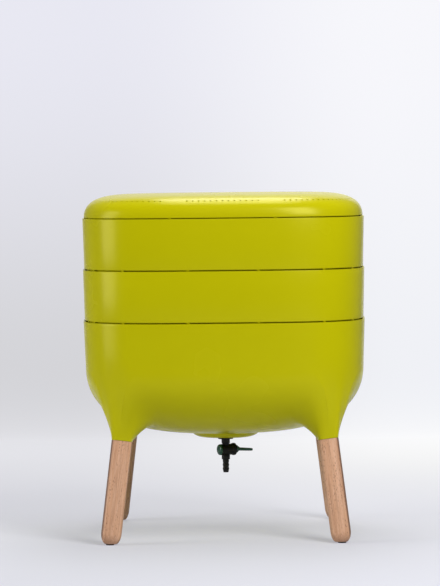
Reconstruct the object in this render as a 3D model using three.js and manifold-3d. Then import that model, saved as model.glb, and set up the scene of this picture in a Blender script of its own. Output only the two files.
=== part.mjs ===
// A stacking wormery on four beech legs, in millimetres, +Z up.
// The floor is z = 0, the middle of the plan is the origin and the front faces -Y.
// A tub on legs catches the liquid, two trays with holed floors stack on it and a vented lid
// closes the stack.
// A small plug tap hangs under the tub's lowest point, with its key turned across the flow, which is shut.

import * as THREE from "three";
import { mergeVertices } from "three/addons/utils/BufferGeometryUtils.js";
import Module from "manifold-3d";

const wasm = await Module();
wasm.setup();

// Overall sizes
const overallWidth = 370;
const tubRimHeight = 285;
const trayPitch = 67;
const lidRise = 31;

// Plan shape: a square with soft corners, |x|^n + |y|^n = a^n
const planPower = 3.6;
const planSegments = 32;
const cornerCrowdingShare = 0.12;

// Moulded walls, gaps and one overrun for every cut
const wall = 3.5;
const seamGap = 1.6;
const restGap = 0.3;
const cutOverrun = 2;
const weldDistance = 1e-4;

// Tub: straight walls that lean in, then a bowl
const tubLean = 2.2;
const bowlTop = 223.5;
const bowlDepth = 89.8;
const bowlSidePower = 3.17;
const bowlDropPower = 2.17;
const bowlFloorPower = 2;
const wallShare = 0.19;
const cavityRings = 5;

// Saucer at the bottom of the tub, with a boss round the drain
const sumpRadius = 45.5;
const sumpDrop = 7.3;
const sumpEdgeShare = 0.05;
const sumpFlatRadius = 27;
const sumpBendRadius = 40;
const sumpBendShare = 0.33;
const bossRadius = 10.6;
const bossDrop = 0.8;

// Window in a quarter of the bowl from which each leg socket grows, as shares of the quarter
const windowAcrossShare = 0.261;
const windowTopShare = 0.122;
const windowFloorShare = 0.689;
const windowPower = 2.72;
const pullOuterShare = 1.17;
const pullInnerShare = 0.44;
const pullFlankExtra = 0.2;
const blendNudgeShare = 0.02;
const straightOuterShare = 0.71;
const straightInnerShare = 0.29;
const straightFlankExtra = 0.12;
const flareOuterShare = 0.08;
const flareInnerShare = 0.71;
const flareFlankExtra = -0.23;
const blendRings = 5;
const bowlRings = 3;
const mapSegments = 32;

// Legs, which splay alike to both sides. The setbacks lead in from the tub's rim to the leg's axis.
const legWidth = 26.2;
const legPower = 3.6;
const legFootSetback = 35.7;
const legShoulderSetback = 51.8;
const legShoulderHeight = 132.6;
const legFootInset = 7.6;
const legFootRise = 14;
const legFootSteps = 3;
const legSegments = 12;
const tenonWidth = 20;
const tenonLength = 28;
const tenonChamfer = 1.5;
const mortiseClearance = 0.35;

// Screws that pin the tenons
const screwHeight = 9;
const screwHeadRadius = 3.6;
const screwHeadThickness = 2;
const screwShankRadius = 1.7;
const screwLength = 15;
const screwClearance = 0.3;
const screwSlotWidth = 1;
const screwSlotDepth = 0.9;

// Glides nailed under the feet
const glideRadius = 5.4;
const glideThickness = 1.5;
const glideRounding = 0.7;
const nailRadius = 1;
const nailLength = 11;

// Trays: a skirt that leans in, and a spigot that drops inside the rim below
const trayLean = 1.6;
const spigotDepth = 14;
const spigotClearance = 1.5;
const spigotLean = 0.8;
const floorThickness = 2.5;
const floorHoleRadius = 4.5;
const floorHolePitch = 50;
const floorHolesAcross = 6;
const floorHoleSides = 5;

// Nubs that hold the seams open, by their distance from the middle of a side
const nubWidth = 3.2;
const nubDepth = 2.2;
const nubInset = 0.2;
const trayNubOffsets = [45, 128.5];
const lidNubOffsets = [67];

// Lid
const lidInset = 1.7;
const lidWall = 2.6;
const lidSeamGap = 1.2;
const lidSidePower = 10;
const lidRisePower = 2.1;
const lidLipDepth = 11;
const lidLipThickness = 2.2;
const lidRings = 5;

// Row of vents round the lid's shoulder
const ventRadius = 1.15;
const ventSides = 3;
const ventPitch = 7.6;
const ventInset = 12.5;
const ventsOnSide = 13;
const ventsOnCorner = 19;
const ventRowSteps = 64;

// Coir mat that lies on the upper tray's floor
const matThickness = 8;
const matMargin = 5;

// Tap: a spout down Z, a barrel along X and a key through the barrel
const tapTurn = THREE.MathUtils.degToRad(29);
const tapAxisDrop = 15.1;
const gasketRadius = 10.6;
const gasketThickness = 0.8;
const flangeRadius = 10;
const flangeThickness = 0.9;
const stemRadius = 5;
const stemClearance = 0.35;
const stemProud = 1.5;
const flowRadius = 2.6;
const neckRadius = 5.6;
const neckLength = 5.4;
const waistRadius = 4.7;
const waistStep = 1;
const barrelRadius = 7.4;
const barrelLeft = 8;
const barrelRight = 13.4;
const collarRadius = 8.2;
const collarLength = 4;
const collarStep = 0.8;
const tailCollarRadius = 5.5;
const tailCollarLength = 5.7;
const tailRadius = 3.7;
const tailBarbRadius = 4.4;
const tailBarbs = 3;
const tailBarbPitch = 5.2;
const tailBarbRiseShare = 0.3;
const tailTipLength = 1.7;
const tailTipChamfer = 0.3;
const roundSegments = 16;
const smallRoundSegments = 12;
const pinSegments = 8;

// Key, its paddle and the cap on its far end
const plugRadius = 4.6;
const plugClearance = 0.3;
const keyHubRadius = 5.2;
const keyHubLength = 3;
const keyPinRadius = 2.4;
const keyCapRadius = 7.3;
const keyCapThickness = 3.2;
const keyCapPlay = 0.35;
const keyCapDomeShares = [[0.6, 0.88], [0.9, 0.5]];
const paddleLength = 25;
const paddleRootWidth = 8;
const paddleTipWidth = 13;
const paddleThickness = 4.4;
const paddleTipShare = 0.75;
const paddleBevel = 0.7;
const ridgeLength = 7;
const ridgeHeight = 2.4;
const ridgeWidth = 3;
const sealThickness = 0.9;
const sealOffset = 5;

// Nut inside the tub, and the strainer that stands over it
const nutAcrossFlats = 17;
const nutThickness = 6;
const strainerRadius = 24;
const strainerHeight = 18.7;
const strainerWall = 1.6;
const strainerSlots = 12;
const strainerSlotWidth = 4;
const strainerSlotHeight = 9;

// Levels and half widths that follow
const rimHalf = overallWidth / 2;
const lowerTrayRim = tubRimHeight + trayPitch;
const upperTrayRim = lowerTrayRim + trayPitch;
const bowlHalf = rimHalf - tubLean;
const bowlFoot = bowlTop - bowlDepth;
const sumpLevel = bowlFoot - sumpDrop;
const bossLevel = sumpLevel - bossDrop;
const drainRadius = stemRadius + stemClearance;
const nutLevel = sumpLevel + wall + restGap + gasketThickness + restGap;
const tapLevel = bossLevel - restGap - gasketThickness - restGap - tapAxisDrop;

const quarters = [0, 1, 2, 3];
const quarterTurn = Math.PI / 2;
const zAxis = new THREE.Vector3(0, 0, 1);
const unitScale = new THREE.Vector3(1, 1, 1);

// Turns a closed three.js geometry into a solid that can be joined and cut.
function toSolid(geometry) {
  const bare = geometry.index ? geometry.toNonIndexed() : geometry.clone();
  for (const name of Object.keys(bare.attributes)) {
    if (name !== "position") bare.deleteAttribute(name);
  }
  const merged = mergeVertices(bare, weldDistance);
  const corners = merged.index.array;
  const kept = [];
  for (let i = 0; i < corners.length; i += 3) {
    const [a, b, c] = [corners[i], corners[i + 1], corners[i + 2]];
    if (a !== b && b !== c && c !== a) kept.push(a, b, c);
  }
  const vertProperties = merged.attributes.position.array;
  const triVerts = new Uint32Array(kept);
  return new wasm.Manifold(new wasm.Mesh({ numProp: 3, vertProperties, triVerts }));
}

// Turns a solid back into a three.js geometry.
function toGeometry(solid) {
  const mesh = solid.getMesh();
  const geometry = new THREE.BufferGeometry();
  geometry.setAttribute("position", new THREE.BufferAttribute(new Float32Array(mesh.vertProperties), 3));
  geometry.setIndex(new THREE.BufferAttribute(new Uint32Array(mesh.triVerts), 1));
  geometry.computeVertexNormals();
  return geometry;
}

const cut = (body, ...tools) => tools.reduce((rest, tool) => rest.subtract(tool), body);
const join = (body, ...others) => others.reduce((rest, other) => rest.add(other), body);

// Revolves a profile of [radius, height] pairs about Z. The profile runs anticlockwise, with Z up the page.
function revolve(profile, segments = roundSegments) {
  const points = profile.map(([radius, height]) => new THREE.Vector2(radius, height));
  const onAxis = profile[0][0] === 0 && profile[profile.length - 1][0] === 0;
  if (!onAxis) points.push(points[0].clone());
  return new THREE.LatheGeometry(points, segments).rotateX(quarterTurn);
}

// How far the plan shape of half width 1 lies from its middle in one direction.
function squareFactor(angle, power) {
  const across = Math.abs(Math.cos(angle)) ** power;
  const along = Math.abs(Math.sin(angle)) ** power;
  return (across + along) ** (-1 / power);
}

// Turns an even step round the plan into one that crowds towards the corners.
const crowd = (turn, crowding = cornerCrowdingShare) => turn + crowding * Math.sin(4 * turn);

// Pushes a revolved geometry out into a rounded square. The power may change with the half width.
function squareOff(geometry, powerAt, crowding = cornerCrowdingShare) {
  const place = geometry.attributes.position;
  for (let i = 0; i < place.count; i += 1) {
    const [x, y] = [place.getX(i), place.getY(i)];
    const half = Math.hypot(x, y);
    const angle = crowd(Math.atan2(y, x), crowding);
    const radius = half * squareFactor(angle, powerAt(half));
    place.setXY(i, radius * Math.cos(angle), radius * Math.sin(angle));
  }
  return geometry;
}

const round = (profile, segments) => toSolid(revolve(profile, segments));
const square = (profile) => toSolid(squareOff(revolve(profile, planSegments), () => planPower));
const legBar = (profile) => toSolid(squareOff(revolve(profile, legSegments), () => legPower));

// A revolved profile laid along X, with its heights read as distances to the right.
const roundAlongX = (profile) => toSolid(revolve(profile).rotateY(quarterTurn));

// A plain cylinder from one height to another.
const pinProfile = (radius, from, to) => [[0, from], [radius, from], [radius, to], [0, to]];

// A flat ring.
function washer(hole, radius, bottom, thickness) {
  const top = bottom + thickness;
  return round([[hole, bottom], [radius, bottom], [radius, top], [hole, top]], smallRoundSegments);
}

// Points of a regular polygon.
function polygon(x, y, radius, sides) {
  return Array.from({ length: sides }, (_, side) => {
    const turn = (side / sides) * 2 * Math.PI;
    return new THREE.Vector2(x + radius * Math.cos(turn), y + radius * Math.sin(turn));
  });
}

const slab = (shape, depth) => new THREE.ExtrudeGeometry(shape, { depth, bevelEnabled: false });

// Half width and height of the tub's outer skin, from its rim at share 0 to the bottom of the
// bowl at share 1.
function tubSkin(share) {
  if (share <= wallShare) {
    const down = share / wallShare;
    return { half: rimHalf - tubLean * down, height: tubRimHeight + (bowlTop - tubRimHeight) * down };
  }
  const turn = ((share - wallShare) / (1 - wallShare)) * quarterTurn;
  const half = bowlHalf * Math.cos(turn) ** (2 / bowlSidePower);
  return { half, height: bowlTop - bowlDepth * Math.sin(turn) ** (2 / bowlDropPower) };
}

// The tub's plan is square at its walls and turns round towards the middle of its floor.
function tubPower(half) {
  const out = THREE.MathUtils.clamp(half / bowlHalf, 0, 1);
  return THREE.MathUtils.lerp(bowlFloorPower, planPower, out * out);
}

// A point of the tub's outer skin. Across runs from 0 to 1 over the quarter between +X and +Y.
function tubPoint(across, share) {
  const angle = crowd(across * quarterTurn);
  const { half, height } = tubSkin(share);
  const radius = half * squareFactor(angle, tubPower(half));
  return new THREE.Vector3(radius * Math.cos(angle), radius * Math.sin(angle), height);
}

// The leg of the +X +Y corner, from its foot on the floor to its shoulder under the socket.
const footOffset = rimHalf - legFootSetback;
const shoulderOffset = rimHalf - legShoulderSetback;
const legFoot = new THREE.Vector3(footOffset, footOffset, 0);
const legShoulder = new THREE.Vector3(shoulderOffset, shoulderOffset, legShoulderHeight);
const legUp = legShoulder.clone().sub(legFoot).normalize();
const legTilt = new THREE.Quaternion().setFromUnitVectors(zAxis, legUp);
const legLength = legFoot.distanceTo(legShoulder);

// A point on the rim of a leg socket, by its turn from the corner that faces away from the tub.
function socketPoint(turn) {
  const angle = turn + Math.PI / 4;
  const radius = (legWidth / 2) * squareFactor(angle, legPower);
  const point = new THREE.Vector3(radius * Math.cos(angle), radius * Math.sin(angle), 0);
  return point.applyQuaternion(legTilt).add(legShoulder);
}

// Walks round the edge of a quarter of the tub from the middle of its rim, as [across, share] pairs.
// Each side of the quarter takes an even number of the steps.
function mapEdge(step) {
  const along = (4 * step) / mapSegments;
  const side = Math.floor(along);
  const part = along - side;
  const middle = 1 / 2;
  if (side === 0) return part < middle ? [middle + part, 0] : [1, part - middle];
  if (side === 1) return part < middle ? [1, middle + part] : [1 + middle - part, 1];
  if (side === 2) return part < middle ? [middle - part, 1] : [0, 1 + middle - part];
  return part < middle ? [0, middle - part] : [part - middle, 0];
}

// The edge of the window in the quarter, at the same step round it.
const windowMiddleShare = (windowTopShare + windowFloorShare) / 2;
function windowEdge(step) {
  const turn = (step / mapSegments) * 2 * Math.PI;
  const reach = squareFactor(turn, windowPower);
  const across = 1 / 2 + windowAcrossShare * reach * Math.sin(turn);
  const share = windowMiddleShare - ((windowFloorShare - windowTopShare) / 2) * reach * Math.cos(turn);
  return [across, share];
}

// A point of the blend that leaves the bowl along its skin and arrives at the socket's rim along the leg.
function blendPoint(step, part) {
  const [across, share] = windowEdge(step);
  const start = tubPoint(across, share);
  const inAcross = across + (1 / 2 - across) * blendNudgeShare;
  const inShare = share + (windowMiddleShare - share) * blendNudgeShare;
  const turn = (step / mapSegments) * 2 * Math.PI;
  const inner = (1 - Math.cos(turn)) / 2;
  const flank = Math.sin(turn) ** 2;
  const pull = THREE.MathUtils.lerp(pullOuterShare, pullInnerShare, inner) + pullFlankExtra * flank;
  const leave = tubPoint(inAcross, inShare).sub(start).multiplyScalar(pull / blendNudgeShare);
  const end = socketPoint(turn);
  const flare = THREE.MathUtils.lerp(flareOuterShare, flareInnerShare, inner) + flareFlankExtra * flank;
  const straightShare = THREE.MathUtils.lerp(straightOuterShare, straightInnerShare, inner);
  const straight = (straightShare + straightFlankExtra * flank) * start.distanceTo(end);
  const inward = legShoulder.clone().sub(end).setZ(0).normalize().multiplyScalar(flare);
  const arrive = inward.sub(zAxis).multiplyScalar(straight);
  const [p, pp, ppp] = [part, part ** 2, part ** 3];
  return start
    .multiplyScalar(2 * ppp - 3 * pp + 1)
    .addScaledVector(leave, ppp - 2 * pp + p)
    .addScaledVector(end, 3 * pp - 2 * ppp)
    .addScaledVector(arrive, ppp - pp);
}

// A point between the edge of the quarter, at part 0, and the edge of the window, at part 1.
function bowlPoint(step, part) {
  const [edgeAcross, edgeShare] = mapEdge(step);
  const [across, share] = windowEdge(step);
  return tubPoint(edgeAcross + (across - edgeAcross) * part, edgeShare + (share - edgeShare) * part);
}

// Two triangles for a quad, split along its shorter diagonal.
function quad(a, b, c, d) {
  return a.distanceTo(c) < b.distanceTo(d) ? [a, b, c, a, c, d] : [a, b, d, b, c, d];
}

// The tub's outside as one closed skin: four quarters, a flat top across the rim and a flat end
// on each socket.
function tubOutside() {
  const rings = [];
  for (let ring = 0; ring < bowlRings; ring += 1) {
    rings.push((step) => bowlPoint(step, ring / bowlRings));
  }
  for (let ring = 0; ring <= blendRings; ring += 1) {
    rings.push((step) => blendPoint(step, ring / blendRings));
  }
  const triangles = [];
  const middleOfRim = new THREE.Vector3(0, 0, tubRimHeight);
  for (const quarter of quarters) {
    const turned = (point) => {
      for (let turn = 0; turn < quarter; turn += 1) point.set(-point.y, point.x, point.z);
      return point;
    };
    const grid = rings.map((at) => Array.from({ length: mapSegments }, (_, step) => turned(at(step))));
    const rim = grid[rings.length - 1];
    const socketMiddle = turned(legShoulder.clone());
    for (let step = 0; step < mapSegments; step += 1) {
      const next = (step + 1) % mapSegments;
      for (let ring = 0; ring + 1 < rings.length; ring += 1) {
        const [outer, inner] = [grid[ring], grid[ring + 1]];
        triangles.push(...quad(outer[step], inner[step], inner[next], outer[next]));
      }
      triangles.push(rim[step], socketMiddle, rim[next]);
      const onRim = mapEdge(step)[1] === 0 && mapEdge(next)[1] === 0;
      if (onRim) triangles.push(grid[0][step], grid[0][next], middleOfRim);
    }
  }
  return new THREE.BufferGeometry().setFromPoints(triangles);
}

// The tub's hollow, a wall inside its skin, which runs out through the top.
function tubCavity() {
  const profile = [];
  for (let ring = 0; ring <= cavityRings; ring += 1) {
    const { half, height } = tubSkin(wallShare + (1 - wallShare) * (1 - ring / cavityRings));
    const inside = ring === 0 ? 0 : half * (1 - wall / bowlHalf);
    profile.push([inside, height + (wall * (bowlTop - height)) / bowlDepth]);
  }
  const top = tubRimHeight + cutOverrun;
  profile.push([rimHalf - wall, top], [0, top]);
  return toSolid(squareOff(revolve(profile, planSegments), (half) => tubPower(half + wall)));
}

// Where a piece that stands on the origin goes to stand on the leg's axis, at a distance up from its foot.
function onLeg(quarter, along) {
  const place = legFoot.clone().addScaledVector(legUp, along);
  const tilted = new THREE.Matrix4().compose(place, legTilt, unitScale);
  return new THREE.Matrix4().makeRotationZ(quarter * quarterTurn).multiply(tilted);
}

// The saucer's inside is its outside, drawn in by a wall: a flat floor, a low slope and a steeper edge.
const sumpFloor = sumpLevel + wall;
const sumpEdge = bowlFoot + wall;
const sumpInsideRadius = sumpRadius - wall;
const sumpInsideShare = sumpInsideRadius / sumpRadius;
const sumpBend = sumpLevel + sumpDrop * sumpBendShare;

function baseTub() {
  const saucer = round([
    [0, bossLevel],
    [bossRadius, bossLevel],
    [bossRadius + bossDrop, sumpLevel],
    [sumpFlatRadius, sumpLevel],
    [sumpBendRadius, sumpBend],
    [sumpRadius, bowlFoot - sumpDrop * sumpEdgeShare],
    [sumpRadius, sumpEdge],
    [0, sumpEdge],
  ]);
  const saucerInside = round([
    [0, sumpFloor],
    [sumpFlatRadius * sumpInsideShare, sumpFloor],
    [sumpBendRadius * sumpInsideShare, sumpBend + wall],
    [sumpInsideRadius, sumpEdge],
    [sumpInsideRadius, sumpEdge + cutOverrun],
    [0, sumpEdge + cutOverrun],
  ]);
  const drain = round(pinProfile(drainRadius, bossLevel - cutOverrun, sumpEdge + cutOverrun));
  const mortiseHalf = tenonWidth / 2 + mortiseClearance;
  const mortise = legBar(pinProfile(mortiseHalf, -cutOverrun, tenonLength + mortiseClearance));
  const sockets = quarters.flatMap((quarter) => {
    const place = onLeg(quarter, legLength).toArray();
    return [mortise.transform(place), screwHole().transform(place)];
  });
  return cut(join(toSolid(tubOutside()), saucer), tubCavity(), saucerInside, drain, ...sockets);
}

// Lays a solid that is made along Z across the leg's shoulder frame, from the tub's side into the leg.
const screwStart = (legWidth / 2) * squareFactor(Math.PI / 4, legPower);
function alongScrew(solid) {
  const direction = new THREE.Vector3(1, 1, 0).normalize();
  const turn = new THREE.Quaternion().setFromUnitVectors(zAxis, direction);
  const start = direction.multiplyScalar(-screwStart).setZ(screwHeight);
  return solid.transform(new THREE.Matrix4().compose(start, turn, unitScale).toArray());
}

function screwHole() {
  const head = screwHeadRadius + screwClearance;
  const shank = screwShankRadius + screwClearance;
  const shoulder = screwHeadThickness + screwClearance;
  const end = screwLength + screwClearance;
  return alongScrew(round([
    [0, -legWidth],
    [head, -legWidth],
    [head, shoulder],
    [shank, shoulder],
    [shank, end],
    [0, end],
  ], pinSegments));
}

function legScrew() {
  const slotLength = 2 * screwHeadRadius + cutOverrun;
  const slotShape = new THREE.BoxGeometry(slotLength, screwSlotWidth, 2 * screwSlotDepth);
  const screw = round([
    [0, 0],
    [screwHeadRadius, 0],
    [screwHeadRadius, screwHeadThickness / 2],
    [screwShankRadius, screwHeadThickness],
    [screwShankRadius, screwLength - screwShankRadius],
    [0, screwLength],
  ], pinSegments);
  return alongScrew(cut(screw, toSolid(slotShape)));
}

// A leg in its own frame, with its foot at the origin: rounded foot, body, shoulder and tenon.
function beechLeg() {
  const half = legWidth / 2;
  const foot = Array.from({ length: legFootSteps + 1 }, (_, step) => {
    const turn = (step / legFootSteps) * quarterTurn;
    return [half - legFootInset * (1 - Math.sin(turn)), legFootRise * (1 - Math.cos(turn))];
  });
  const shoulder = legLength - restGap;
  const tenon = tenonWidth / 2;
  const top = legLength + tenonLength;
  const blank = legBar([
    [0, 0],
    ...foot,
    [half, shoulder],
    [tenon, shoulder],
    [tenon, top - tenonChamfer],
    [tenon - tenonChamfer, top],
    [0, top],
  ]);
  const seat = glideThickness + restGap;
  const belowSeat = new THREE.BoxGeometry(overallWidth, overallWidth, legWidth);
  belowSeat.translate(0, 0, seat - legWidth / 2);
  const nailTop = glideThickness + nailLength + restGap;
  const nailHole = revolve(pinProfile(nailRadius + restGap, 0, nailTop), pinSegments);
  const upright = new THREE.Matrix4().makeRotationFromQuaternion(legTilt.clone().invert());
  const screw = screwHole().translate([0, 0, legLength]);
  return cut(blank, toSolid(belowSeat.applyMatrix4(upright)), toSolid(nailHole.applyMatrix4(upright)), screw);
}

// A glide with its nail, upright under the foot.
function footGlide() {
  return round([
    [0, 0],
    [glideRadius - glideRounding, 0],
    [glideRadius, glideRounding],
    [glideRadius, glideThickness],
    [nailRadius, glideThickness],
    [nailRadius, glideThickness + nailLength - nailRadius],
    [0, glideThickness + nailLength],
  ], pinSegments);
}

// Nubs under a skirt, which stand on the rim below and hold the seam open.
function seamNubs(half, offsets, level, gap) {
  const depthMiddle = half - nubInset - nubDepth / 2;
  const shape = new THREE.BoxGeometry(nubWidth, nubDepth, gap);
  return quarters.flatMap((side) => offsets.flatMap((offset) => [-offset, offset]).map((x) => {
    const y = (depthMiddle ** planPower - Math.abs(x) ** planPower) ** (1 / planPower);
    const lean = Math.atan2(Math.sign(x) * (Math.abs(x) / y) ** (planPower - 1), 1);
    const nub = shape.clone().rotateZ(lean).translate(x, -y, level + restGap - gap / 2);
    return toSolid(nub.rotateZ(side * quarterTurn));
  }));
}

// Hole centres of a tray's floor: a square grid without its corners.
function floorHolePlaces() {
  const reach = (floorHolesAcross - 1) / 2;
  const places = [];
  for (let row = -reach; row <= reach; row += 1) {
    for (let column = -reach; column <= reach; column += 1) {
      const inCorner = Math.abs(row) === reach && Math.abs(column) === reach;
      if (!inCorner) places.push([column * floorHolePitch, row * floorHolePitch]);
    }
  }
  return places;
}

// The plan shape as an outline.
function planOutline(half) {
  return new THREE.Shape(Array.from({ length: planSegments }, (_, step) => {
    const angle = crowd((step / planSegments) * 2 * Math.PI);
    const radius = half * squareFactor(angle, planPower);
    return new THREE.Vector2(radius * Math.cos(angle), radius * Math.sin(angle));
  }));
}

// The spigot of a tray or lid fits in the rim below with this half width at its shoulder.
const spigotHalf = rimHalf - wall - spigotClearance;

// A tray, by the level of its rim.
function tray(rim) {
  const rimBelow = rim - trayPitch;
  const skirtFoot = rimBelow + seamGap;
  const floor = rimBelow - spigotDepth;
  const skirtHalf = rimHalf - trayLean;
  const shelf = skirtFoot + wall;
  const walls = square([
    [spigotHalf - spigotLean - wall, floor],
    [spigotHalf - spigotLean, floor],
    [spigotHalf, skirtFoot],
    [skirtHalf, skirtFoot],
    [rimHalf, rim],
    [rimHalf - wall, rim],
    [skirtHalf - wall, shelf + wall],
    [spigotHalf - wall, shelf],
  ]);
  const plate = planOutline(spigotHalf - spigotLean - wall / 2);
  for (const [x, y] of floorHolePlaces()) {
    plate.holes.push(new THREE.Path(polygon(x, y, floorHoleRadius, floorHoleSides)));
  }
  const floorPlate = toSolid(slab(plate, floorThickness).translate(0, 0, floor));
  return join(walls, floorPlate, ...seamNubs(skirtHalf, trayNubOffsets, skirtFoot, seamGap));
}

// The lid's skin rises from its edge as a flat-topped dome. The inset leads to its inside.
const lidHalf = rimHalf - lidInset;
const lidEdge = upperTrayRim + lidSeamGap;
const lidCrown = upperTrayRim + lidRise;
function lidPoint(part, inset) {
  const turn = part * quarterTurn;
  const half = (lidHalf - inset) * Math.cos(turn) ** (2 / lidSidePower);
  return [half, lidEdge + (lidCrown - lidEdge - inset) * Math.sin(turn) ** (2 / lidRisePower)];
}

// The middles of the vents in one quarter: a row about the middle of the side, and one about the corner.
function ventPlaces() {
  const points = Array.from({ length: ventRowSteps + 1 }, (_, step) => {
    const angle = (step / ventRowSteps) * quarterTurn;
    const radius = (lidHalf - ventInset) * squareFactor(angle, planPower);
    return new THREE.Vector2(radius * Math.cos(angle), radius * Math.sin(angle));
  });
  const row = new THREE.SplineCurve(points);
  const length = row.getLength();
  const onSide = Array.from({ length: ventsOnSide }, (_, vent) => {
    const distance = (vent - (ventsOnSide - 1) / 2) * ventPitch;
    const point = row.getPointAt(Math.abs(distance) / length);
    return new THREE.Vector2(point.x, Math.sign(distance) * point.y);
  });
  const onCorner = Array.from({ length: ventsOnCorner }, (_, vent) => {
    const distance = length / 2 + (vent - (ventsOnCorner - 1) / 2) * ventPitch;
    return row.getPointAt(distance / length);
  });
  return [...onSide, ...onCorner];
}

function lid() {
  const parts = Array.from({ length: lidRings }, (_, ring) => ring / lidRings);
  const inside = parts.slice(1).map((part) => lidPoint(part, lidWall)).reverse();
  const lipFoot = upperTrayRim - lidLipDepth;
  const shell = square([
    [0, lidCrown - lidWall],
    ...inside,
    [spigotHalf - lidLipThickness, lidEdge + lidWall],
    [spigotHalf - spigotLean - lidLipThickness, lipFoot],
    [spigotHalf - spigotLean, lipFoot],
    [spigotHalf, lidEdge],
    ...parts.map((part) => lidPoint(part, 0)),
    [0, lidCrown],
  ]);
  const vent = slab(new THREE.Shape(polygon(0, 0, ventRadius, ventSides)), lidRise);
  const vents = quarters.flatMap((side) => ventPlaces().map((place) => {
    const hole = vent.clone().rotateZ(Math.atan2(place.y, place.x));
    hole.translate(place.x, place.y, lidEdge + lidWall);
    return toSolid(hole.rotateZ(side * quarterTurn));
  }));
  return join(cut(shell, ...vents), ...seamNubs(lidHalf, lidNubOffsets, lidEdge, lidSeamGap));
}

function coirMat() {
  const bottom = lowerTrayRim - spigotDepth + floorThickness + restGap;
  const top = bottom + matThickness;
  const half = spigotHalf - spigotLean - wall - matMargin;
  return square(pinProfile(half, bottom, top));
}

// The tap's body in the tap's frame, whose origin is where the flow crosses the barrel.
function tapBody() {
  const flangeTop = tapAxisDrop;
  const flangeFoot = flangeTop - flangeThickness;
  const neckFoot = flangeFoot - neckLength;
  const stemTop = nutLevel + nutThickness + stemProud - tapLevel;
  const collarTop = waistStep - barrelRadius;
  const collarFoot = -barrelRadius - tailCollarLength;
  const barbs = Array.from({ length: tailBarbs }, (_, barb) => {
    const top = collarFoot - barb * tailBarbPitch;
    return [[tailRadius, top], [tailBarbRadius, top - tailBarbPitch * tailBarbRiseShare]];
  }).flat();
  const tailFoot = collarFoot - tailBarbs * tailBarbPitch - tailTipLength;
  const spout = round([
    [0, stemTop],
    [stemRadius, stemTop],
    [stemRadius, flangeTop],
    [flangeRadius, flangeTop],
    [flangeRadius, flangeFoot],
    [neckRadius, flangeFoot],
    [neckRadius, neckFoot],
    [waistRadius, neckFoot - waistStep],
    [waistRadius, collarTop],
    [tailCollarRadius, collarTop - waistStep],
    [tailCollarRadius, collarFoot],
    ...barbs,
    [tailRadius, tailFoot + tailTipLength],
    [tailRadius - tailTipChamfer, tailFoot],
    [0, tailFoot],
  ].reverse());
  const barrel = roundAlongX([
    [0, -barrelLeft],
    [barrelRadius, -barrelLeft],
    [barrelRadius, barrelRight - collarLength],
    [collarRadius, barrelRight - collarLength + collarStep],
    [collarRadius, barrelRight - collarStep],
    [collarRadius - collarStep, barrelRight],
    [0, barrelRight],
  ]);
  const boreRadius = plugRadius + plugClearance;
  const bore = roundAlongX(pinProfile(boreRadius, -barrelLeft - cutOverrun, barrelRight + cutOverrun));
  const flow = round(pinProfile(flowRadius, tailFoot - cutOverrun, stemTop + cutOverrun));
  return cut(join(spout, barrel), bore, flow);
}

// The paddle of the key lies flat while the tap is shut, and thins towards its tip.
function keyPaddle(start) {
  const tip = paddleTipWidth / 2;
  const tipMiddle = start + paddleLength - tip;
  const outline = new THREE.Shape();
  outline.moveTo(start, -paddleRootWidth / 2);
  outline.lineTo(tipMiddle, -tip);
  outline.absarc(tipMiddle, 0, tip, -quarterTurn, quarterTurn, false);
  outline.lineTo(start, paddleRootWidth / 2);
  const paddle = new THREE.ExtrudeGeometry(outline, {
    depth: paddleThickness - 2 * paddleBevel,
    bevelSize: paddleBevel,
    bevelThickness: paddleBevel,
    bevelSegments: 1,
    bevelOffset: -paddleBevel,
    curveSegments: smallRoundSegments / 2,
  }).translate(0, 0, paddleBevel - paddleThickness / 2);
  const place = paddle.attributes.position;
  for (let i = 0; i < place.count; i += 1) {
    const out = (place.getX(i) - start) / paddleLength;
    place.setZ(i, place.getZ(i) * THREE.MathUtils.lerp(1, paddleTipShare, out));
  }
  return toSolid(paddle);
}

// The key: a plug with a cross bore and two seal grooves, a hub, and a paddle with a ridge on each face.
function tapKey() {
  const hubStart = barrelRight + plugClearance;
  const hubEnd = hubStart + keyHubLength;
  const pinEnd = -barrelLeft - keyCapPlay - keyCapThickness / 2;
  const grooveRadius = plugRadius - sealThickness;
  const groove = (middle) => [
    [plugRadius, middle - sealThickness],
    [grooveRadius, middle - sealThickness],
    [grooveRadius, middle + sealThickness],
    [plugRadius, middle + sealThickness],
  ];
  const plug = roundAlongX([
    [0, pinEnd],
    [keyPinRadius, pinEnd],
    [keyPinRadius, -barrelLeft],
    [plugRadius, -barrelLeft],
    ...groove(-sealOffset),
    ...groove(sealOffset),
    [plugRadius, hubStart],
    [keyHubRadius, hubStart],
    [keyHubRadius, hubEnd],
    [0, hubEnd],
  ]);
  const paddleStart = hubStart + keyHubLength / 2;
  const crest = paddleThickness / 2 + ridgeHeight;
  const ridge = new THREE.Shape([
    new THREE.Vector2(paddleStart, -crest),
    new THREE.Vector2(hubEnd, -crest),
    new THREE.Vector2(hubEnd + ridgeLength, 0),
    new THREE.Vector2(hubEnd, crest),
    new THREE.Vector2(paddleStart, crest),
  ]);
  const ridges = slab(ridge, ridgeWidth).translate(0, 0, -ridgeWidth / 2).rotateX(quarterTurn);
  const across = revolve(pinProfile(flowRadius, -2 * plugRadius, 2 * plugRadius)).rotateX(quarterTurn);
  return cut(join(plug, keyPaddle(paddleStart), toSolid(ridges)), toSolid(across));
}

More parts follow.
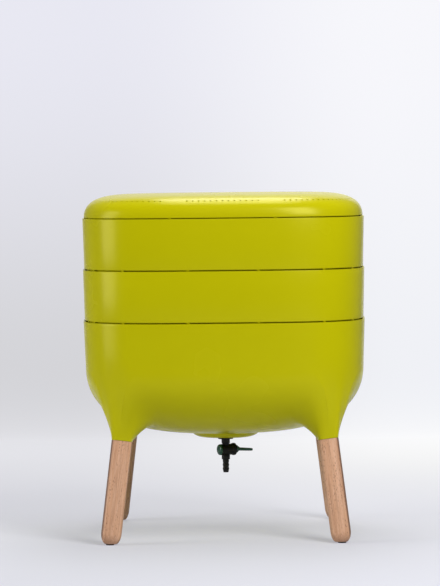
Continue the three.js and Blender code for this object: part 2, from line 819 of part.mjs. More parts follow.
// The domed cap on the key's pin, which holds the key in the barrel.
function tapKeyCap() {
  const face = -barrelLeft - keyCapPlay;
  const pocket = face - keyCapThickness / 2 - restGap;
  const hole = keyPinRadius + restGap;
  const dome = keyCapDomeShares.map(([out, up]) => [out * keyCapRadius, face - up * keyCapThickness]);
  return roundAlongX([
    [0, face - keyCapThickness],
    ...dome,
    [keyCapRadius, face],
    [hole, face],
    [hole, pocket],
    [0, pocket],
  ]);
}

// A seal that lies in a groove of the key.
function keySeal(middle) {
  const gap = plugClearance / 3;
  const inner = plugRadius - sealThickness + gap;
  const outer = plugRadius + plugClearance - gap;
  const half = sealThickness - gap;
  const [left, right] = [middle - half, middle + half];
  return roundAlongX([[inner, left], [outer, left], [outer, right], [inner, right]]);
}

function lockNut() {
  const cornerRadius = nutAcrossFlats / 2 / Math.cos(Math.PI / 6);
  const nut = new THREE.Shape(polygon(0, 0, cornerRadius, 6));
  nut.holes.push(new THREE.Path(polygon(0, 0, drainRadius, roundSegments)));
  return toSolid(slab(nut, nutThickness).translate(0, 0, nutLevel));
}

// An upturned cup with slots up from its edge, which keeps bedding out of the tap.
function drainStrainer() {
  const bottom = sumpFloor + restGap;
  const top = bottom + strainerHeight;
  const inside = strainerRadius - strainerWall;
  const cup = round([
    [inside, bottom],
    [strainerRadius, bottom],
    [strainerRadius, top - strainerWall],
    [inside, top],
    [0, top],
    [0, top - strainerWall],
    [inside, top - strainerWall],
  ]);
  const slot = new THREE.BoxGeometry(strainerRadius, strainerSlotWidth, strainerSlotHeight + cutOverrun);
  slot.translate(strainerRadius, 0, bottom + (strainerSlotHeight - cutOverrun) / 2);
  const slots = Array.from({ length: strainerSlots }, (_, number) => {
    return toSolid(slot.clone().rotateZ((number / strainerSlots) * 2 * Math.PI));
  });
  return cut(cup, ...slots);
}

// Finishes
function finish(color, roughness, metalness = 0) {
  return new THREE.MeshStandardMaterial({ color, roughness, metalness });
}
const limePlastic = finish(0xb7b400, 0.42);
const beech = finish(0xc99a73, 0.6);
const blackPlastic = finish(0x16171a, 0.4);
const greenPlastic = finish(0x1d5a40, 0.35);
const blackRubber = finish(0x101010, 0.8);
const zincSteel = finish(0xb9bcc0, 0.35, 1);
const coir = finish(0x7a5a36, 0.95);

function piece(name, solid, material) {
  const mesh = new THREE.Mesh(toGeometry(solid), material.clone());
  mesh.name = name;
  return mesh;
}

const wormery = new THREE.Group();
wormery.add(
  piece("base_tub", baseTub(), limePlastic),
  piece("lower_tray", tray(lowerTrayRim), limePlastic),
  piece("upper_tray", tray(upperTrayRim), limePlastic),
  piece("lid", lid(), limePlastic),
  piece("coir_mat", coirMat(), coir),
);

// One leg with its screw and glide, turned to each corner
["back_right", "back_left", "front_left", "front_right"].forEach((corner, quarter) => {
  const group = new THREE.Group();
  group.rotation.z = quarter * quarterTurn;
  const leg = piece(`leg_${corner}`, beechLeg(), beech);
  leg.position.copy(legFoot);
  leg.quaternion.copy(legTilt);
  const screw = piece(`leg_screw_${corner}`, legScrew(), zincSteel);
  screw.position.copy(legShoulder);
  screw.quaternion.copy(legTilt);
  const glide = piece(`foot_glide_${corner}`, footGlide(), blackRubber);
  glide.position.copy(legFoot);
  group.add(leg, screw, glide);
  wormery.add(group);
});

// The tap, turned about the drain, with its gaskets, its nut and the strainer over it
const tap = new THREE.Group();
tap.position.z = tapLevel;
tap.rotation.z = tapTurn;
tap.add(
  piece("tap_body", tapBody(), blackPlastic),
  piece("tap_key", tapKey(), greenPlastic),
  piece("tap_key_cap", tapKeyCap(), greenPlastic),
  piece("key_seal_left", keySeal(-sealOffset), blackRubber),
  piece("key_seal_right", keySeal(sealOffset), blackRubber),
);
const outerGasketFoot = bossLevel - restGap - gasketThickness;
const outerGasket = washer(drainRadius, gasketRadius, outerGasketFoot, gasketThickness);
const innerGasket = washer(drainRadius, nutAcrossFlats / 2, sumpFloor + restGap, gasketThickness);
wormery.add(
  tap,
  piece("outer_gasket", outerGasket, blackRubber),
  piece("inner_gasket", innerGasket, blackRubber),
  piece("lock_nut", lockNut(), blackPlastic),
  piece("drain_strainer", drainStrainer(), blackPlastic),
);

export default wormery;
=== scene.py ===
# %% [markdown]
# # A stacking wormery
# This lesson dresses a worm composter: a lime tub on four beech legs, two trays that stack on it,
# a vented lid, and a small tap under the tub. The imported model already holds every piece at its
# real place, so the first step loads it, and each later step makes a finer skin for a piece and
# says which piece it stands for. Everything is in metres, with Z up and the front towards -Y.

# %% Load the frame
import math
import random

import bmesh
import bpy
from mathutils import Matrix, Vector


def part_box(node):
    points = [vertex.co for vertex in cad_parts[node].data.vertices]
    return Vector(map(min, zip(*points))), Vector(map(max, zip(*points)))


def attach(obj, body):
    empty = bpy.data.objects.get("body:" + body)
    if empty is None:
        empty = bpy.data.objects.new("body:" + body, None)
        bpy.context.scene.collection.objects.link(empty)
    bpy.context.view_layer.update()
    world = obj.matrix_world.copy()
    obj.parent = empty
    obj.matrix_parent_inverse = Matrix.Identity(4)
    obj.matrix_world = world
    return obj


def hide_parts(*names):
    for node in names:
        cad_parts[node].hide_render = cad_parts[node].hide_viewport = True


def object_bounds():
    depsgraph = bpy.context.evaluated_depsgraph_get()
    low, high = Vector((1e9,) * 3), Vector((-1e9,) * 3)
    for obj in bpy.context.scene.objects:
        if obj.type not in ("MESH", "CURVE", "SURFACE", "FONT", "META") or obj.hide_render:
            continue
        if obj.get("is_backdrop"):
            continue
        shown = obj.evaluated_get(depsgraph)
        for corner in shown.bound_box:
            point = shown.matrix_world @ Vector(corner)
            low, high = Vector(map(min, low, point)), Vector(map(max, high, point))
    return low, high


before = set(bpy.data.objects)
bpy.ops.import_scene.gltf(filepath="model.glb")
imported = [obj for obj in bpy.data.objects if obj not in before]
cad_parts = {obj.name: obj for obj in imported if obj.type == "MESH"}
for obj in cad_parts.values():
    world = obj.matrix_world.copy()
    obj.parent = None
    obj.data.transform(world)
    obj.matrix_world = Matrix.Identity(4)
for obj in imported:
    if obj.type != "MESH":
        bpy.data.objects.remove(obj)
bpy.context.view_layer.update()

# %% [markdown]
# ## Sizes
# A moulded family like this one shares a few numbers: the plan's half width, the levels of the
# rims, and the wall. The levels are read from the frame, so the skins stay where the pieces are.
# The rest are the mould's own radii and powers, in millimetres turned into metres.

# %% Sizes that all the pieces share
MM = 0.001
RIM_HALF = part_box("base_tub")[1].x
TUB_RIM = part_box("base_tub")[1].z
LOWER_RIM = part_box("lower_tray")[1].z
UPPER_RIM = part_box("upper_tray")[1].z
LID_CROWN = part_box("lid")[1].z
TRAY_PITCH = UPPER_RIM - LOWER_RIM
PLAN_POWER = 3.6
CORNER_CROWDING = 0.12
WALL = 3.5 * MM
SEAM_GAP = 1.6 * MM
REST_GAP = 0.3 * MM
OVERRUN = 2 * MM
QUARTER = math.pi / 2
print("rims at", [round(level, 4) for level in (TUB_RIM, LOWER_RIM, UPPER_RIM, LID_CROWN)])

# %% [markdown]
# ## Tools for moulded shapes
# The plan of every moulding is a square whose corners are so soft that no flat is left: each point
# satisfies |x|^n + |y|^n = a^n. One function turns a direction into a distance for that curve, and
# a crowding term puts more points where the corner bends. Revolving a profile and pushing each
# ring out by this factor gives a solid with that plan, and a power of 2 leaves it round.

# %% The plan curve
def square_factor(angle, power):
    across = abs(math.cos(angle)) ** power
    along = abs(math.sin(angle)) ** power
    return (across + along) ** (-1 / power)


def crowd(turn):
    return turn + CORNER_CROWDING * math.sin(4 * turn)


def plan_point(half, angle, height, power):
    radius = half * square_factor(angle, power)
    return Vector((radius * math.cos(angle), radius * math.sin(angle), height))


def lerp(start, end, part):
    return start + (end - start) * part


def shares(steps):
    """Even steps from 0 to 1, both among them."""
    return [step / steps for step in range(steps + 1)]


def around(quarter):
    return Matrix.Rotation(quarter * QUARTER, 4, "Z")


print("corner reach", round(square_factor(QUARTER / 2, PLAN_POWER), 4))

# %% [markdown]
# A sharp edge never catches light, and every moulded edge has a small radius. So each profile is
# softened before it is revolved: a corner that turns by more than a set angle is cut back along
# both of its sides and bridged by a short curve.

# %% Softened profiles
SHARP_TURN = math.radians(25)


def softened(profile, radius, closed=False, steps=3):
    points = [Vector(point) for point in profile]
    made = []
    for index, corner in enumerate(points):
        first_or_last = index in (0, len(points) - 1)
        before = points[index - 1]
        after = points[(index + 1) % len(points)]
        arriving, leaving = corner - before, after - corner
        straight = first_or_last and not closed
        if straight or arriving.angle(leaving, 0) < SHARP_TURN:
            made.append(corner)
            continue
        reach = min(radius, arriving.length * 0.45, leaving.length * 0.45)
        start = corner - arriving.normalized() * reach
        end = corner + leaving.normalized() * reach
        for part in shares(steps):
            made.append(start.lerp(corner, part).lerp(corner.lerp(end, part), part))
    return [(point.x, point.y) for point in made]


# %% Revolved solids
def as_mesh(built, name):
    """The shape of a bmesh as a mesh. The bmesh is let go."""
    mesh = bpy.data.meshes.new(name)
    built.to_mesh(mesh)
    built.free()
    return mesh


def revolved(profile, steps=64, power=2, power_at=None):
    """A closed mesh from (radius, height) pairs that run anticlockwise, with the height up."""
    turning = bmesh.new()
    rings = []
    for half, height in profile:
        if half == 0:
            rings.append([turning.verts.new((0, 0, height))])
            continue
        ring_power = power_at(half) if power_at else power
        angles = [crowd(step / steps * 2 * math.pi) if ring_power > 2 else step / steps * 2 * math.pi
                  for step in range(steps)]
        rings.append([turning.verts.new(plan_point(half, angle, height, ring_power)) for angle in angles])
    pairs = list(zip(rings, rings[1:]))
    if profile[0][0] and profile[-1][0]:
        pairs.append((rings[-1], rings[0]))
    for lower, upper in pairs:
        for step in range(steps):
            after = (step + 1) % steps
            corners = [lower[step % len(lower)], lower[after % len(lower)],
                       upper[after % len(upper)], upper[step % len(upper)]]
            distinct = list(dict.fromkeys(corners))
            if len(distinct) > 2:
                turning.faces.new(distinct)
    bmesh.ops.recalc_face_normals(turning, faces=turning.faces)
    return as_mesh(turning, "revolved")


def lathed(profile, rounding, steps=64, power=2):
    return revolved(softened(profile, rounding), steps, power)


# %% [markdown]
# Holes, sockets and bores are cut with a boolean modifier, as a toolmaker would pull a core. The
# modifier is evaluated at once and its result kept as a plain mesh, so nothing is left live.

# %% Cutting and joining
def joined(meshes):
    together = bmesh.new()
    for mesh in meshes:
        together.from_mesh(mesh)
    return as_mesh(together, "joined")


def moved(mesh, place):
    copy = mesh.copy()
    copy.transform(place)
    return copy


def block(place):
    """A cube of side 1, scaled and set down by the matrix."""
    cube = bmesh.new()
    bmesh.ops.create_cube(cube, size=1)
    cube.transform(place)
    return as_mesh(cube, "block")


BEVEL_SHARPER_THAN = math.radians(55)
CUT, ADD = "DIFFERENCE", "UNION"


def worked(mesh, jobs, bevel=0):
    """Applies a bevel to the sharp edges, then each (operation, tool mesh) in turn."""
    blank = bpy.data.objects.new("blank", mesh)
    helpers = [blank]
    if bevel:
        edge = blank.modifiers.new("edges", "BEVEL")
        edge.width = bevel
        edge.segments = 3
        edge.limit_method = "ANGLE"
        edge.angle_limit = BEVEL_SHARPER_THAN
    for operation, tool in jobs:
        tool_object = bpy.data.objects.new("tool", tool)
        helpers.append(tool_object)
        job = blank.modifiers.new("job", "BOOLEAN")
        job.operation = operation
        job.solver = "MANIFOLD"
        job.object = tool_object
    for helper in helpers:
        bpy.context.scene.collection.objects.link(helper)
    ready = blank.evaluated_get(bpy.context.evaluated_depsgraph_get())
    result = bpy.data.meshes.new_from_object(ready)
    for helper in helpers:
        bpy.data.objects.remove(helper)
    return result


# %% [markdown]
# Every finished mesh becomes an object in the same way: shaded smooth up to a set angle, given its
# finish, and tied to the body that carries it, while the imported nodes that it stands for are hidden.

# %% Making a piece
SMOOTH_ANGLE = math.radians(38)


def make_piece(name, mesh, finish, body, *nodes, slot=None):
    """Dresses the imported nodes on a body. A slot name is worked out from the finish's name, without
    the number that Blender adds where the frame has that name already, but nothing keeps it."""
    slot = slot or finish.name.partition(".")[0]
    mesh.name = name
    mesh.materials.clear()
    mesh.materials.append(finish)
    mesh.polygons.foreach_set("material_index", [0] * len(mesh.polygons))
    mesh.shade_smooth()
    mesh.set_sharp_from_angle(angle=SMOOTH_ANGLE)
    made = bpy.data.objects.new(name, mesh)
    bpy.context.scene.collection.objects.link(made)
    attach(made, body)
    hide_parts(*nodes)
    print(name, len(mesh.polygons), "faces")
    return made


# %% [markdown]
# ## Finishes
# Each finish is a Principled BSDF whose colour, roughness and bump come from patterns in the
# object's own space, at the size that the real surface shows. A short helper adds a node and
# fills its sockets, so a pattern reads as a list of what feeds what.

# %% Helpers for node trees
def fill(tree, node, inputs):
    """Links each named socket, or gives it a constant. A colour is written without its alpha."""
    for name, value in inputs.items():
        socket = node.inputs[name]
        if isinstance(value, bpy.types.NodeSocket):
            tree.links.new(value, socket)
        else:
            socket.default_value = (*value, 1) if socket.type == "RGBA" else value


def add_node(tree, kind, inputs=None, **settings):
    made = tree.nodes.new(kind)
    for name, value in settings.items():
        setattr(made, name, value)
    fill(tree, made, inputs or {})
    return made


def new_group(name, inputs, outputs):
    tree = bpy.data.node_groups.new(name, "ShaderNodeTree")
    for label, kind, default in inputs:
        tree.interface.new_socket(name=label, in_out="INPUT", socket_type=kind).default_value = default
    for label, kind in outputs:
        tree.interface.new_socket(name=label, in_out="OUTPUT", socket_type=kind)
    return tree, tree.nodes.new("NodeGroupInput"), tree.nodes.new("NodeGroupOutput")


def new_finish(name):
    material = bpy.data.materials.new(name)
    material.use_nodes = True
    tree = material.node_tree
    tree.nodes.clear()
    shader = tree.nodes.new("ShaderNodeBsdfPrincipled")
    output = tree.nodes.new("ShaderNodeOutputMaterial")
    tree.links.new(shader.outputs["BSDF"], output.inputs["Surface"])
    place = add_node(tree, "ShaderNodeTexCoord")
    return material, tree, shader, place.outputs["Object"]


FLOAT, VECTOR = "NodeSocketFloat", "NodeSocketVector"

# %% [markdown]
# The same few patterns and sums come back in every finish, so each has a short name here that gives
# the socket where its result comes out.

# %% Patterns and sums
def computed(tree, operation, first, second=0.0):
    return add_node(tree, "ShaderNodeMath", {0: first, 1: second}, operation=operation).outputs[0]


def ranged(tree, value, start, end, low=0.0, high=1.0, kind="LINEAR"):
    """The value carried from one range to another, and held at both ends."""
    return add_node(tree, "ShaderNodeMapRange", {
        "Value": value, "From Min": start, "From Max": end, "To Min": low, "To Max": high},
        interpolation_type=kind).outputs["Result"]


def noise(tree, vector, scale, detail, **inputs):
    return add_node(tree, "ShaderNodeTexNoise", {
        "Vector": vector, "Scale": scale, "Detail": detail, **inputs}).outputs["Fac"]


def mixed(tree, share, under, over, blend="MIX"):
    return add_node(tree, "ShaderNodeMix", {"Factor": share, 6: under, 7: over}, data_type="RGBA",
                    blend_type=blend).outputs[2]


def relief(tree, height, strength, distance):
    return add_node(tree, "ShaderNodeBump", {
        "Height": height, "Strength": strength, "Distance": distance}).outputs["Normal"]


def ramp(tree, value, stops, kind="LINEAR"):
    """A colour for each value, from stops of a place and a colour."""
    made = add_node(tree, "ShaderNodeValToRGB", {"Fac": value})
    made.color_ramp.interpolation = kind
    elements = made.color_ramp.elements
    for element, (place, colour) in zip(elements, (stops[0], stops[-1])):
        element.position = place
        element.color = (*colour, 1)
    for place, colour in stops[1:-1]:
        elements.new(place).color = (*colour, 1)
    return made.outputs["Color"]


# %% [markdown]
# ### Moulded skin
# A spark-eroded mould leaves a fine satin grain of a few tenths of a millimetre, and the plastic
# cools a little unevenly behind it, so its shine and shade drift over a hand's width. The grain is
# one noise for the bump, and the drift is another that is two hundred times larger.

# %% The moulded skin group
def moulded_skin():
    tree, given, result = new_group(
        "moulded_skin",
        [("Vector", VECTOR, (0, 0, 0)), ("Grain Size", FLOAT, 0.0005), ("Drift Size", FLOAT, 0.12)],
        [("Grain", FLOAT), ("Drift", FLOAT)],
    )
    for result_name, size, detail, roughness in (("Grain", "Grain Size", 2.0, 0.6),
                                                 ("Drift", "Drift Size", 3.0, 0.55)):
        per_metre = computed(tree, "DIVIDE", 1.0, given.outputs[size])
        fill(tree, result, {result_name: noise(tree, given.outputs["Vector"], per_metre, detail,
                                               Roughness=roughness)})
    return tree


MOULDED_SKIN = moulded_skin()


# %% Plastics and rubber
SHINE_DRIFT = 0.035


def moulded_finish(name, pale, deep, roughness, grain_size, bump, specular=0.5, pearl=0):
    """Plastic or rubber in two close shades, from a mould with a fine grain."""
    material, tree, shader, place = new_finish(name)
    skin = add_node(tree, "ShaderNodeGroup", {"Vector": place, "Grain Size": grain_size},
                    node_tree=MOULDED_SKIN).outputs
    fill(tree, shader, {
        "Base Color": mixed(tree, skin["Drift"], deep, pale),
        "Roughness": ranged(tree, skin["Drift"], 0.3, 0.7, roughness - SHINE_DRIFT, roughness + SHINE_DRIFT),
        "Normal": relief(tree, skin["Grain"], 0.35, bump),
        "Specular IOR Level": specular,
        "Metallic": pearl})
    return material


LIME = moulded_finish("lime_plastic", (0.500, 0.478, 0.0008), (0.478, 0.456, 0.0005), 0.26, 0.0006,
                      0.00002, 0.10, 0.035)
BLACK = moulded_finish("black_plastic", (0.009, 0.009, 0.009), (0.006, 0.006, 0.006), 0.38, 0.0003,
                       0.00002, 0.22)
GREEN = moulded_finish("green_plastic", (0.012, 0.080, 0.045), (0.008, 0.062, 0.034), 0.25, 0.0004, 0.00001)
RUBBER = moulded_finish("black_rubber", (0.014, 0.014, 0.014), (0.009, 0.009, 0.009), 0.7, 0.0004, 0.00004)
print("moulded finishes", [finish.name for finish in (LIME, BLACK, GREEN, RUBBER)])

# %% [markdown]
# ### Oiled beech
# Beech is a pale, pinkish wood. Its growth rings show as faint bands along a leg, its vessels as
# fine long streaks, and its rays as small dark flecks a few millimetres long that stand in lines,
# which is how one knows beech at a glance. Each is one pattern, stretched along the grain. The
# outer edges and the feet are painted darker than the rest, as painted shade.

# %% The beech grain group
def stretched(tree, vector, across, along):
    """The vector scaled for a pattern of this size across the grain and along it."""
    return add_node(tree, "ShaderNodeVectorMath", {0: vector, 1: (1 / across, 1 / across, 1 / along)},
                    operation="MULTIPLY").outputs[0]


def beech_grain():
    tree, given, result = new_group(
        "beech_grain", [("Vector", VECTOR, (0, 0, 0))],
        [("Rings", FLOAT), ("Bands", FLOAT), ("Streaks", FLOAT), ("Flecks", FLOAT)])
    board = given.outputs["Vector"]

    def grain(across, along, detail, **inputs):
        return noise(tree, stretched(tree, board, across, along), 1.0, detail, **inputs)

    in_line = ranged(tree, grain(0.006, 0.07, 1.0), 0.5, 0.62, 0.25, 1.0)
    cells = add_node(tree, "ShaderNodeTexVoronoi", {
        "Vector": stretched(tree, board, 0.0016, 0.0048), "Scale": 1.0, "Randomness": 1.0})
    short = ranged(tree, cells.outputs["Distance"], 0.16, 0.38, 1.0, 0.0)
    fill(tree, result, {
        "Rings": grain(0.018, 0.3, 2.0, Distortion=0.6),
        "Bands": grain(0.0038, 0.09, 2.0, Distortion=0.3),
        "Streaks": grain(0.0008, 0.035, 3.0, Roughness=0.6),
        "Flecks": computed(tree, "MULTIPLY", in_line, short)})
    return tree


BEECH_GRAIN = beech_grain()
# What lies over the rings, with its colour and strength: grain, then painted shade on the outer edges and the
# feet
LAYERS = {"bands": ((0.40, 0.205, 0.115), 0.6), "streaks": ((0.74, 0.49, 0.35), 0.6),
          "flecks": ((0.20, 0.09, 0.045), 0.75), "painted_edge_shade": ((0.115, 0.058, 0.034), 0.8),
          "painted_foot_shade": ((0.20, 0.095, 0.055), 0.32)}


# %% Beech for one leg
def beech_finish(name, upright, outer, offset, deep, pale):
    """Beech for the leg that the matrix stands upright. The offset takes the leg from another board."""
    material, tree, shader, place = new_finish(name)
    stood = add_node(tree, "ShaderNodeMapping", {
        "Vector": place, "Rotation": upright.to_euler(), "Location": upright.translation}).outputs["Vector"]
    board = add_node(tree, "ShaderNodeVectorMath", {0: stood, 1: offset}, operation="ADD").outputs[0]
    grain = add_node(tree, "ShaderNodeGroup", {"Vector": board}, node_tree=BEECH_GRAIN).outputs

    def laid_over(under, layer, mask):
        colour, strength = LAYERS[layer]
        return mixed(tree, computed(tree, "MULTIPLY", mask, strength), under, colour)

    def along(direction):
        return add_node(tree, "ShaderNodeVectorMath", {0: stood, 1: direction},
                        operation="DOT_PRODUCT").outputs["Value"]

    wood = mixed(tree, ranged(tree, grain["Rings"], 0.32, 0.68), deep, pale)
    wood = laid_over(wood, "bands", ranged(tree, grain["Bands"], 0.46, 0.7))
    wood = laid_over(wood, "streaks", ranged(tree, grain["Streaks"], 0.48, 0.66))
    wood = laid_over(wood, "flecks", grain["Flecks"])
    # Painted shade: the leg's outer side edges, as seen from the front, are darkened.
    beside = computed(tree, "ABSOLUTE", along((outer[1], outer[0], 0)))
    edge = computed(tree, "MULTIPLY", ranged(tree, along(outer), 9.8 * MM, 11.6 * MM),
                    ranged(tree, beside, 1 * MM, 5 * MM))
    wood = laid_over(wood, "painted_edge_shade", edge)
    # Painted shade: the wood darkens over its lowest 13 mm, towards the foot.
    level = add_node(tree, "ShaderNodeSeparateXYZ", {"Vector": stood}).outputs["Z"]
    wood = laid_over(wood, "painted_foot_shade", ranged(tree, level, 13 * MM, 1 * MM))
    fill(tree, shader, {
        "Base Color": wood,
        "Roughness": ranged(tree, grain["Streaks"], 0.0, 1.0, 0.40, 0.60),
        "Normal": relief(tree, grain["Streaks"], 0.3, 0.00008),
        "Specular IOR Level": 0.35})
    return material


print("beech group sockets", [item.name for item in BEECH_GRAIN.interface.items_tree])

# %% [markdown]
# ### Zinc and coir
# The screws are zinc plated, with a faint brushed turn to their shine. The mat is coconut fibre:
# a hundred brown tones, from straw to bark, with painted shade between the strands.

# %% Zinc and coir
def zinc_finish():
    material, tree, shader, place = new_finish("zinc_steel")
    skin = add_node(tree, "ShaderNodeGroup", {"Vector": place, "Grain Size": 0.0008, "Drift Size": 0.004},
                    node_tree=MOULDED_SKIN).outputs
    fill(tree, shader, {
        "Base Color": (0.50, 0.52, 0.55),
        "Metallic": 1,
        "Roughness": ranged(tree, skin["Drift"], 0.0, 1.0, 0.22, 0.45),
        "Normal": relief(tree, skin["Grain"], 0.2, 0.00002)})
    return material


def coir_finish():
    material, tree, shader, place = new_finish("coir")
    fibre = noise(tree, place, 900.0, 4.0, Roughness=0.7, Distortion=1.5)
    # The fibre's brown tones run down to a near black: painted shade between the strands.
    browns_and_gap_shade = ramp(tree, fibre, [(0.3, (0.035, 0.018, 0.008)), (0.72, (0.36, 0.21, 0.095))])
    fill(tree, shader, {
        "Base Color": mixed(tree, noise(tree, place, 45.0, 3.0), browns_and_gap_shade, (0.75, 0.70, 0.62), "MULTIPLY"),
        "Roughness": 0.9,
        "Sheen Weight": 0.3,
        "Normal": relief(tree, fibre, 0.7, 0.0006)})
    return material


ZINC = zinc_finish()
COIR = coir_finish()
print("finishes so far", len(bpy.data.materials))

# %% [markdown]
# ## The tub
# The tub is one moulding, and its legs' sockets grow out of it with no seam. Its skin is laid in
# four quarters. In each, rows of points run from the edge of the quarter to a rounded window in the
# bowl, and from there a smooth blend leaves along the bowl and arrives along the leg. The same
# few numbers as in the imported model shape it, but it is laid in far finer steps.

# %% The tub's sizes
TUB_LEAN = 2.2 * MM
BOWL_TOP = 223.5 * MM
BOWL_DEPTH = 89.8 * MM
BOWL_SIDE_POWER = 3.17
BOWL_DROP_POWER = 2.17
WALL_SHARE = 0.19
WINDOW_ACROSS = 0.261
WINDOW_TOP = 0.122
WINDOW_FLOOR = 0.689
WINDOW_POWER = 2.72
PULL_OUTER, PULL_INNER = 1.17, 0.44
STRAIGHT_OUTER, STRAIGHT_INNER = 0.71, 0.29
FLARE_OUTER, FLARE_INNER = 0.08, 0.71
PULL_FLANK, STRAIGHT_FLANK, FLARE_FLANK = 0.2, 0.12, -0.23
NUDGE = 0.02
MAP_STEPS = 192
BOWL_ROWS = 14
BLEND_ROWS = 28
BOWL_HALF = RIM_HALF - TUB_LEAN
BOWL_FOOT = BOWL_TOP - BOWL_DEPTH

# %% The legs' axes, which the sockets follow
LEG_WIDTH = 26.2 * MM
LEG_POWER = 3.6
FOOT_OFFSET = RIM_HALF - 35.7 * MM
SHOULDER_OFFSET = RIM_HALF - 51.8 * MM
SHOULDER_HEIGHT = 132.6 * MM
LEG_FOOT = Vector((FOOT_OFFSET, FOOT_OFFSET, 0))
LEG_SHOULDER = Vector((SHOULDER_OFFSET, SHOULDER_OFFSET, SHOULDER_HEIGHT))
LEG_UP = (LEG_SHOULDER - LEG_FOOT).normalized()
LEG_TILT = Vector((0, 0, 1)).rotation_difference(LEG_UP)
LEG_LENGTH = (LEG_SHOULDER - LEG_FOOT).length
CORNERS = ("back_right", "back_left", "front_left", "front_right")
print("legs splay", round(math.degrees(LEG_UP.angle(Vector((0, 0, 1)))), 2), "degrees")


# %% The bowl's surface
def tub_skin(share):
    """Half width and height, from the rim at share 0 to the bottom of the bowl at share 1."""
    if share <= WALL_SHARE:
        down = share / WALL_SHARE
        return RIM_HALF - TUB_LEAN * down, lerp(TUB_RIM, BOWL_TOP, down)
    turn = (share - WALL_SHARE) / (1 - WALL_SHARE) * QUARTER
    half = BOWL_HALF * max(math.cos(turn), 0) ** (2 / BOWL_SIDE_POWER)
    return half, BOWL_TOP - BOWL_DEPTH * math.sin(turn) ** (2 / BOWL_DROP_POWER)


def tub_power(half):
    out = min(max(half / BOWL_HALF, 0), 1)
    return lerp(2, PLAN_POWER, out * out)


def tub_point(across, share):
    half, height = tub_skin(share)
    return plan_point(half, crowd(across * QUARTER), height, tub_power(half))


# %% The edge of a quarter, and the window that a socket grows from
def map_edge(step):
    along = 4 * step / MAP_STEPS
    side, part = int(along), along % 1
    if side == 0:
        return (0.5 + part, 0) if part < 0.5 else (1, part - 0.5)
    if side == 1:
        return (1, 0.5 + part) if part < 0.5 else (1.5 - part, 1)
    if side == 2:
        return (0.5 - part, 1) if part < 0.5 else (0, 1.5 - part)
    return (0, 0.5 - part) if part < 0.5 else (part - 0.5, 0)


def window_edge(step):
    turn = step / MAP_STEPS * 2 * math.pi
    reach = square_factor(turn, WINDOW_POWER)
    middle = (WINDOW_TOP + WINDOW_FLOOR) / 2
    across = 0.5 + WINDOW_ACROSS * reach * math.sin(turn)
    return across, middle - (WINDOW_FLOOR - WINDOW_TOP) / 2 * reach * math.cos(turn)


# %% The blend from the window to the socket's rim
def socket_point(turn):
    angle = turn + math.pi / 4
    point = plan_point(LEG_WIDTH / 2, angle, 0, LEG_POWER)
    point.rotate(LEG_TILT)
    return point + LEG_SHOULDER


def blend_point(step, part):
    across, share = window_edge(step)
    turn = step / MAP_STEPS * 2 * math.pi
    inner = (1 - math.cos(turn)) / 2
    flank = math.sin(turn) ** 2
    start, end = tub_point(across, share), socket_point(turn)
    middle = (WINDOW_TOP + WINDOW_FLOOR) / 2
    nudged = tub_point(lerp(across, 0.5, NUDGE), lerp(share, middle, NUDGE))
    leave = (nudged - start) * ((lerp(PULL_OUTER, PULL_INNER, inner) + PULL_FLANK * flank) / NUDGE)
    inward = LEG_SHOULDER - end
    inward.z = 0
    inward = inward.normalized() * (lerp(FLARE_OUTER, FLARE_INNER, inner) + FLARE_FLANK * flank)
    straight = (lerp(STRAIGHT_OUTER, STRAIGHT_INNER, inner) + STRAIGHT_FLANK * flank) * (end - start).length
    arrive = (inward - Vector((0, 0, 1))) * straight
    square, cube = part ** 2, part ** 3
    return (start * (2 * cube - 3 * square + 1) + leave * (cube - 2 * square + part)
            + end * (3 * square - 2 * cube) + arrive * (cube - square))


def bowl_point(step, part):
    edge, window = map_edge(step), window_edge(step)
    return tub_point(lerp(edge[0], window[0], part), lerp(edge[1], window[1], part))


# %% The tub's outside, closed across the rim and the sockets' ends
def tub_outside():
    rows = [(bowl_point, part) for part in shares(BOWL_ROWS)[:-1]]
    rows += [(blend_point, part) for part in shares(BLEND_ROWS)]
    sheet = bmesh.new()
    for quarter in range(4):
        turned = Matrix.Rotation(quarter * QUARTER, 3, "Z")
        grid = [[sheet.verts.new(turned @ point_at(step, part)) for step in range(MAP_STEPS)]
                for point_at, part in rows]
        for outer, inner in zip(grid, grid[1:]):
            for step in range(MAP_STEPS):
                after = (step + 1) % MAP_STEPS
                sheet.faces.new((outer[step], inner[step], inner[after], outer[after]))
    bmesh.ops.remove_doubles(sheet, verts=sheet.verts, dist=1e-6)
    open_edges = [edge for edge in sheet.edges if edge.is_boundary]
    bmesh.ops.holes_fill(sheet, edges=open_edges)
    bmesh.ops.recalc_face_normals(sheet, faces=sheet.faces)
    return as_mesh(sheet, "tub_outside")


# %% [markdown]
# Inside, the tub is a plain bowl one wall smaller. At its lowest point a shallow saucer leads the
# liquid to the drain, and shows below the belly as a lens with a crisp edge and a small boss.

# %% The tub's inside, its saucer and its holes
SAUCER_RADIUS = 45.5 * MM
SAUCER_DROP = 7.3 * MM
SAUCER_FLAT = 21 * MM
LENS_POWER = 3.7
LENS_DROP = 0.95 * SAUCER_DROP
BOSS_RADIUS = 10.6 * MM
BOSS_DROP = 0.8 * MM
DRAIN_RADIUS = 5.35 * MM
RIM_ROUNDING = 0.9 * MM
SAUCER_LEVEL = BOWL_FOOT - SAUCER_DROP
BOSS_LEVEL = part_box("base_tub")[0].z
SAUCER_FLOOR = SAUCER_LEVEL + WALL
SAUCER_EDGE = BOWL_FOOT + WALL


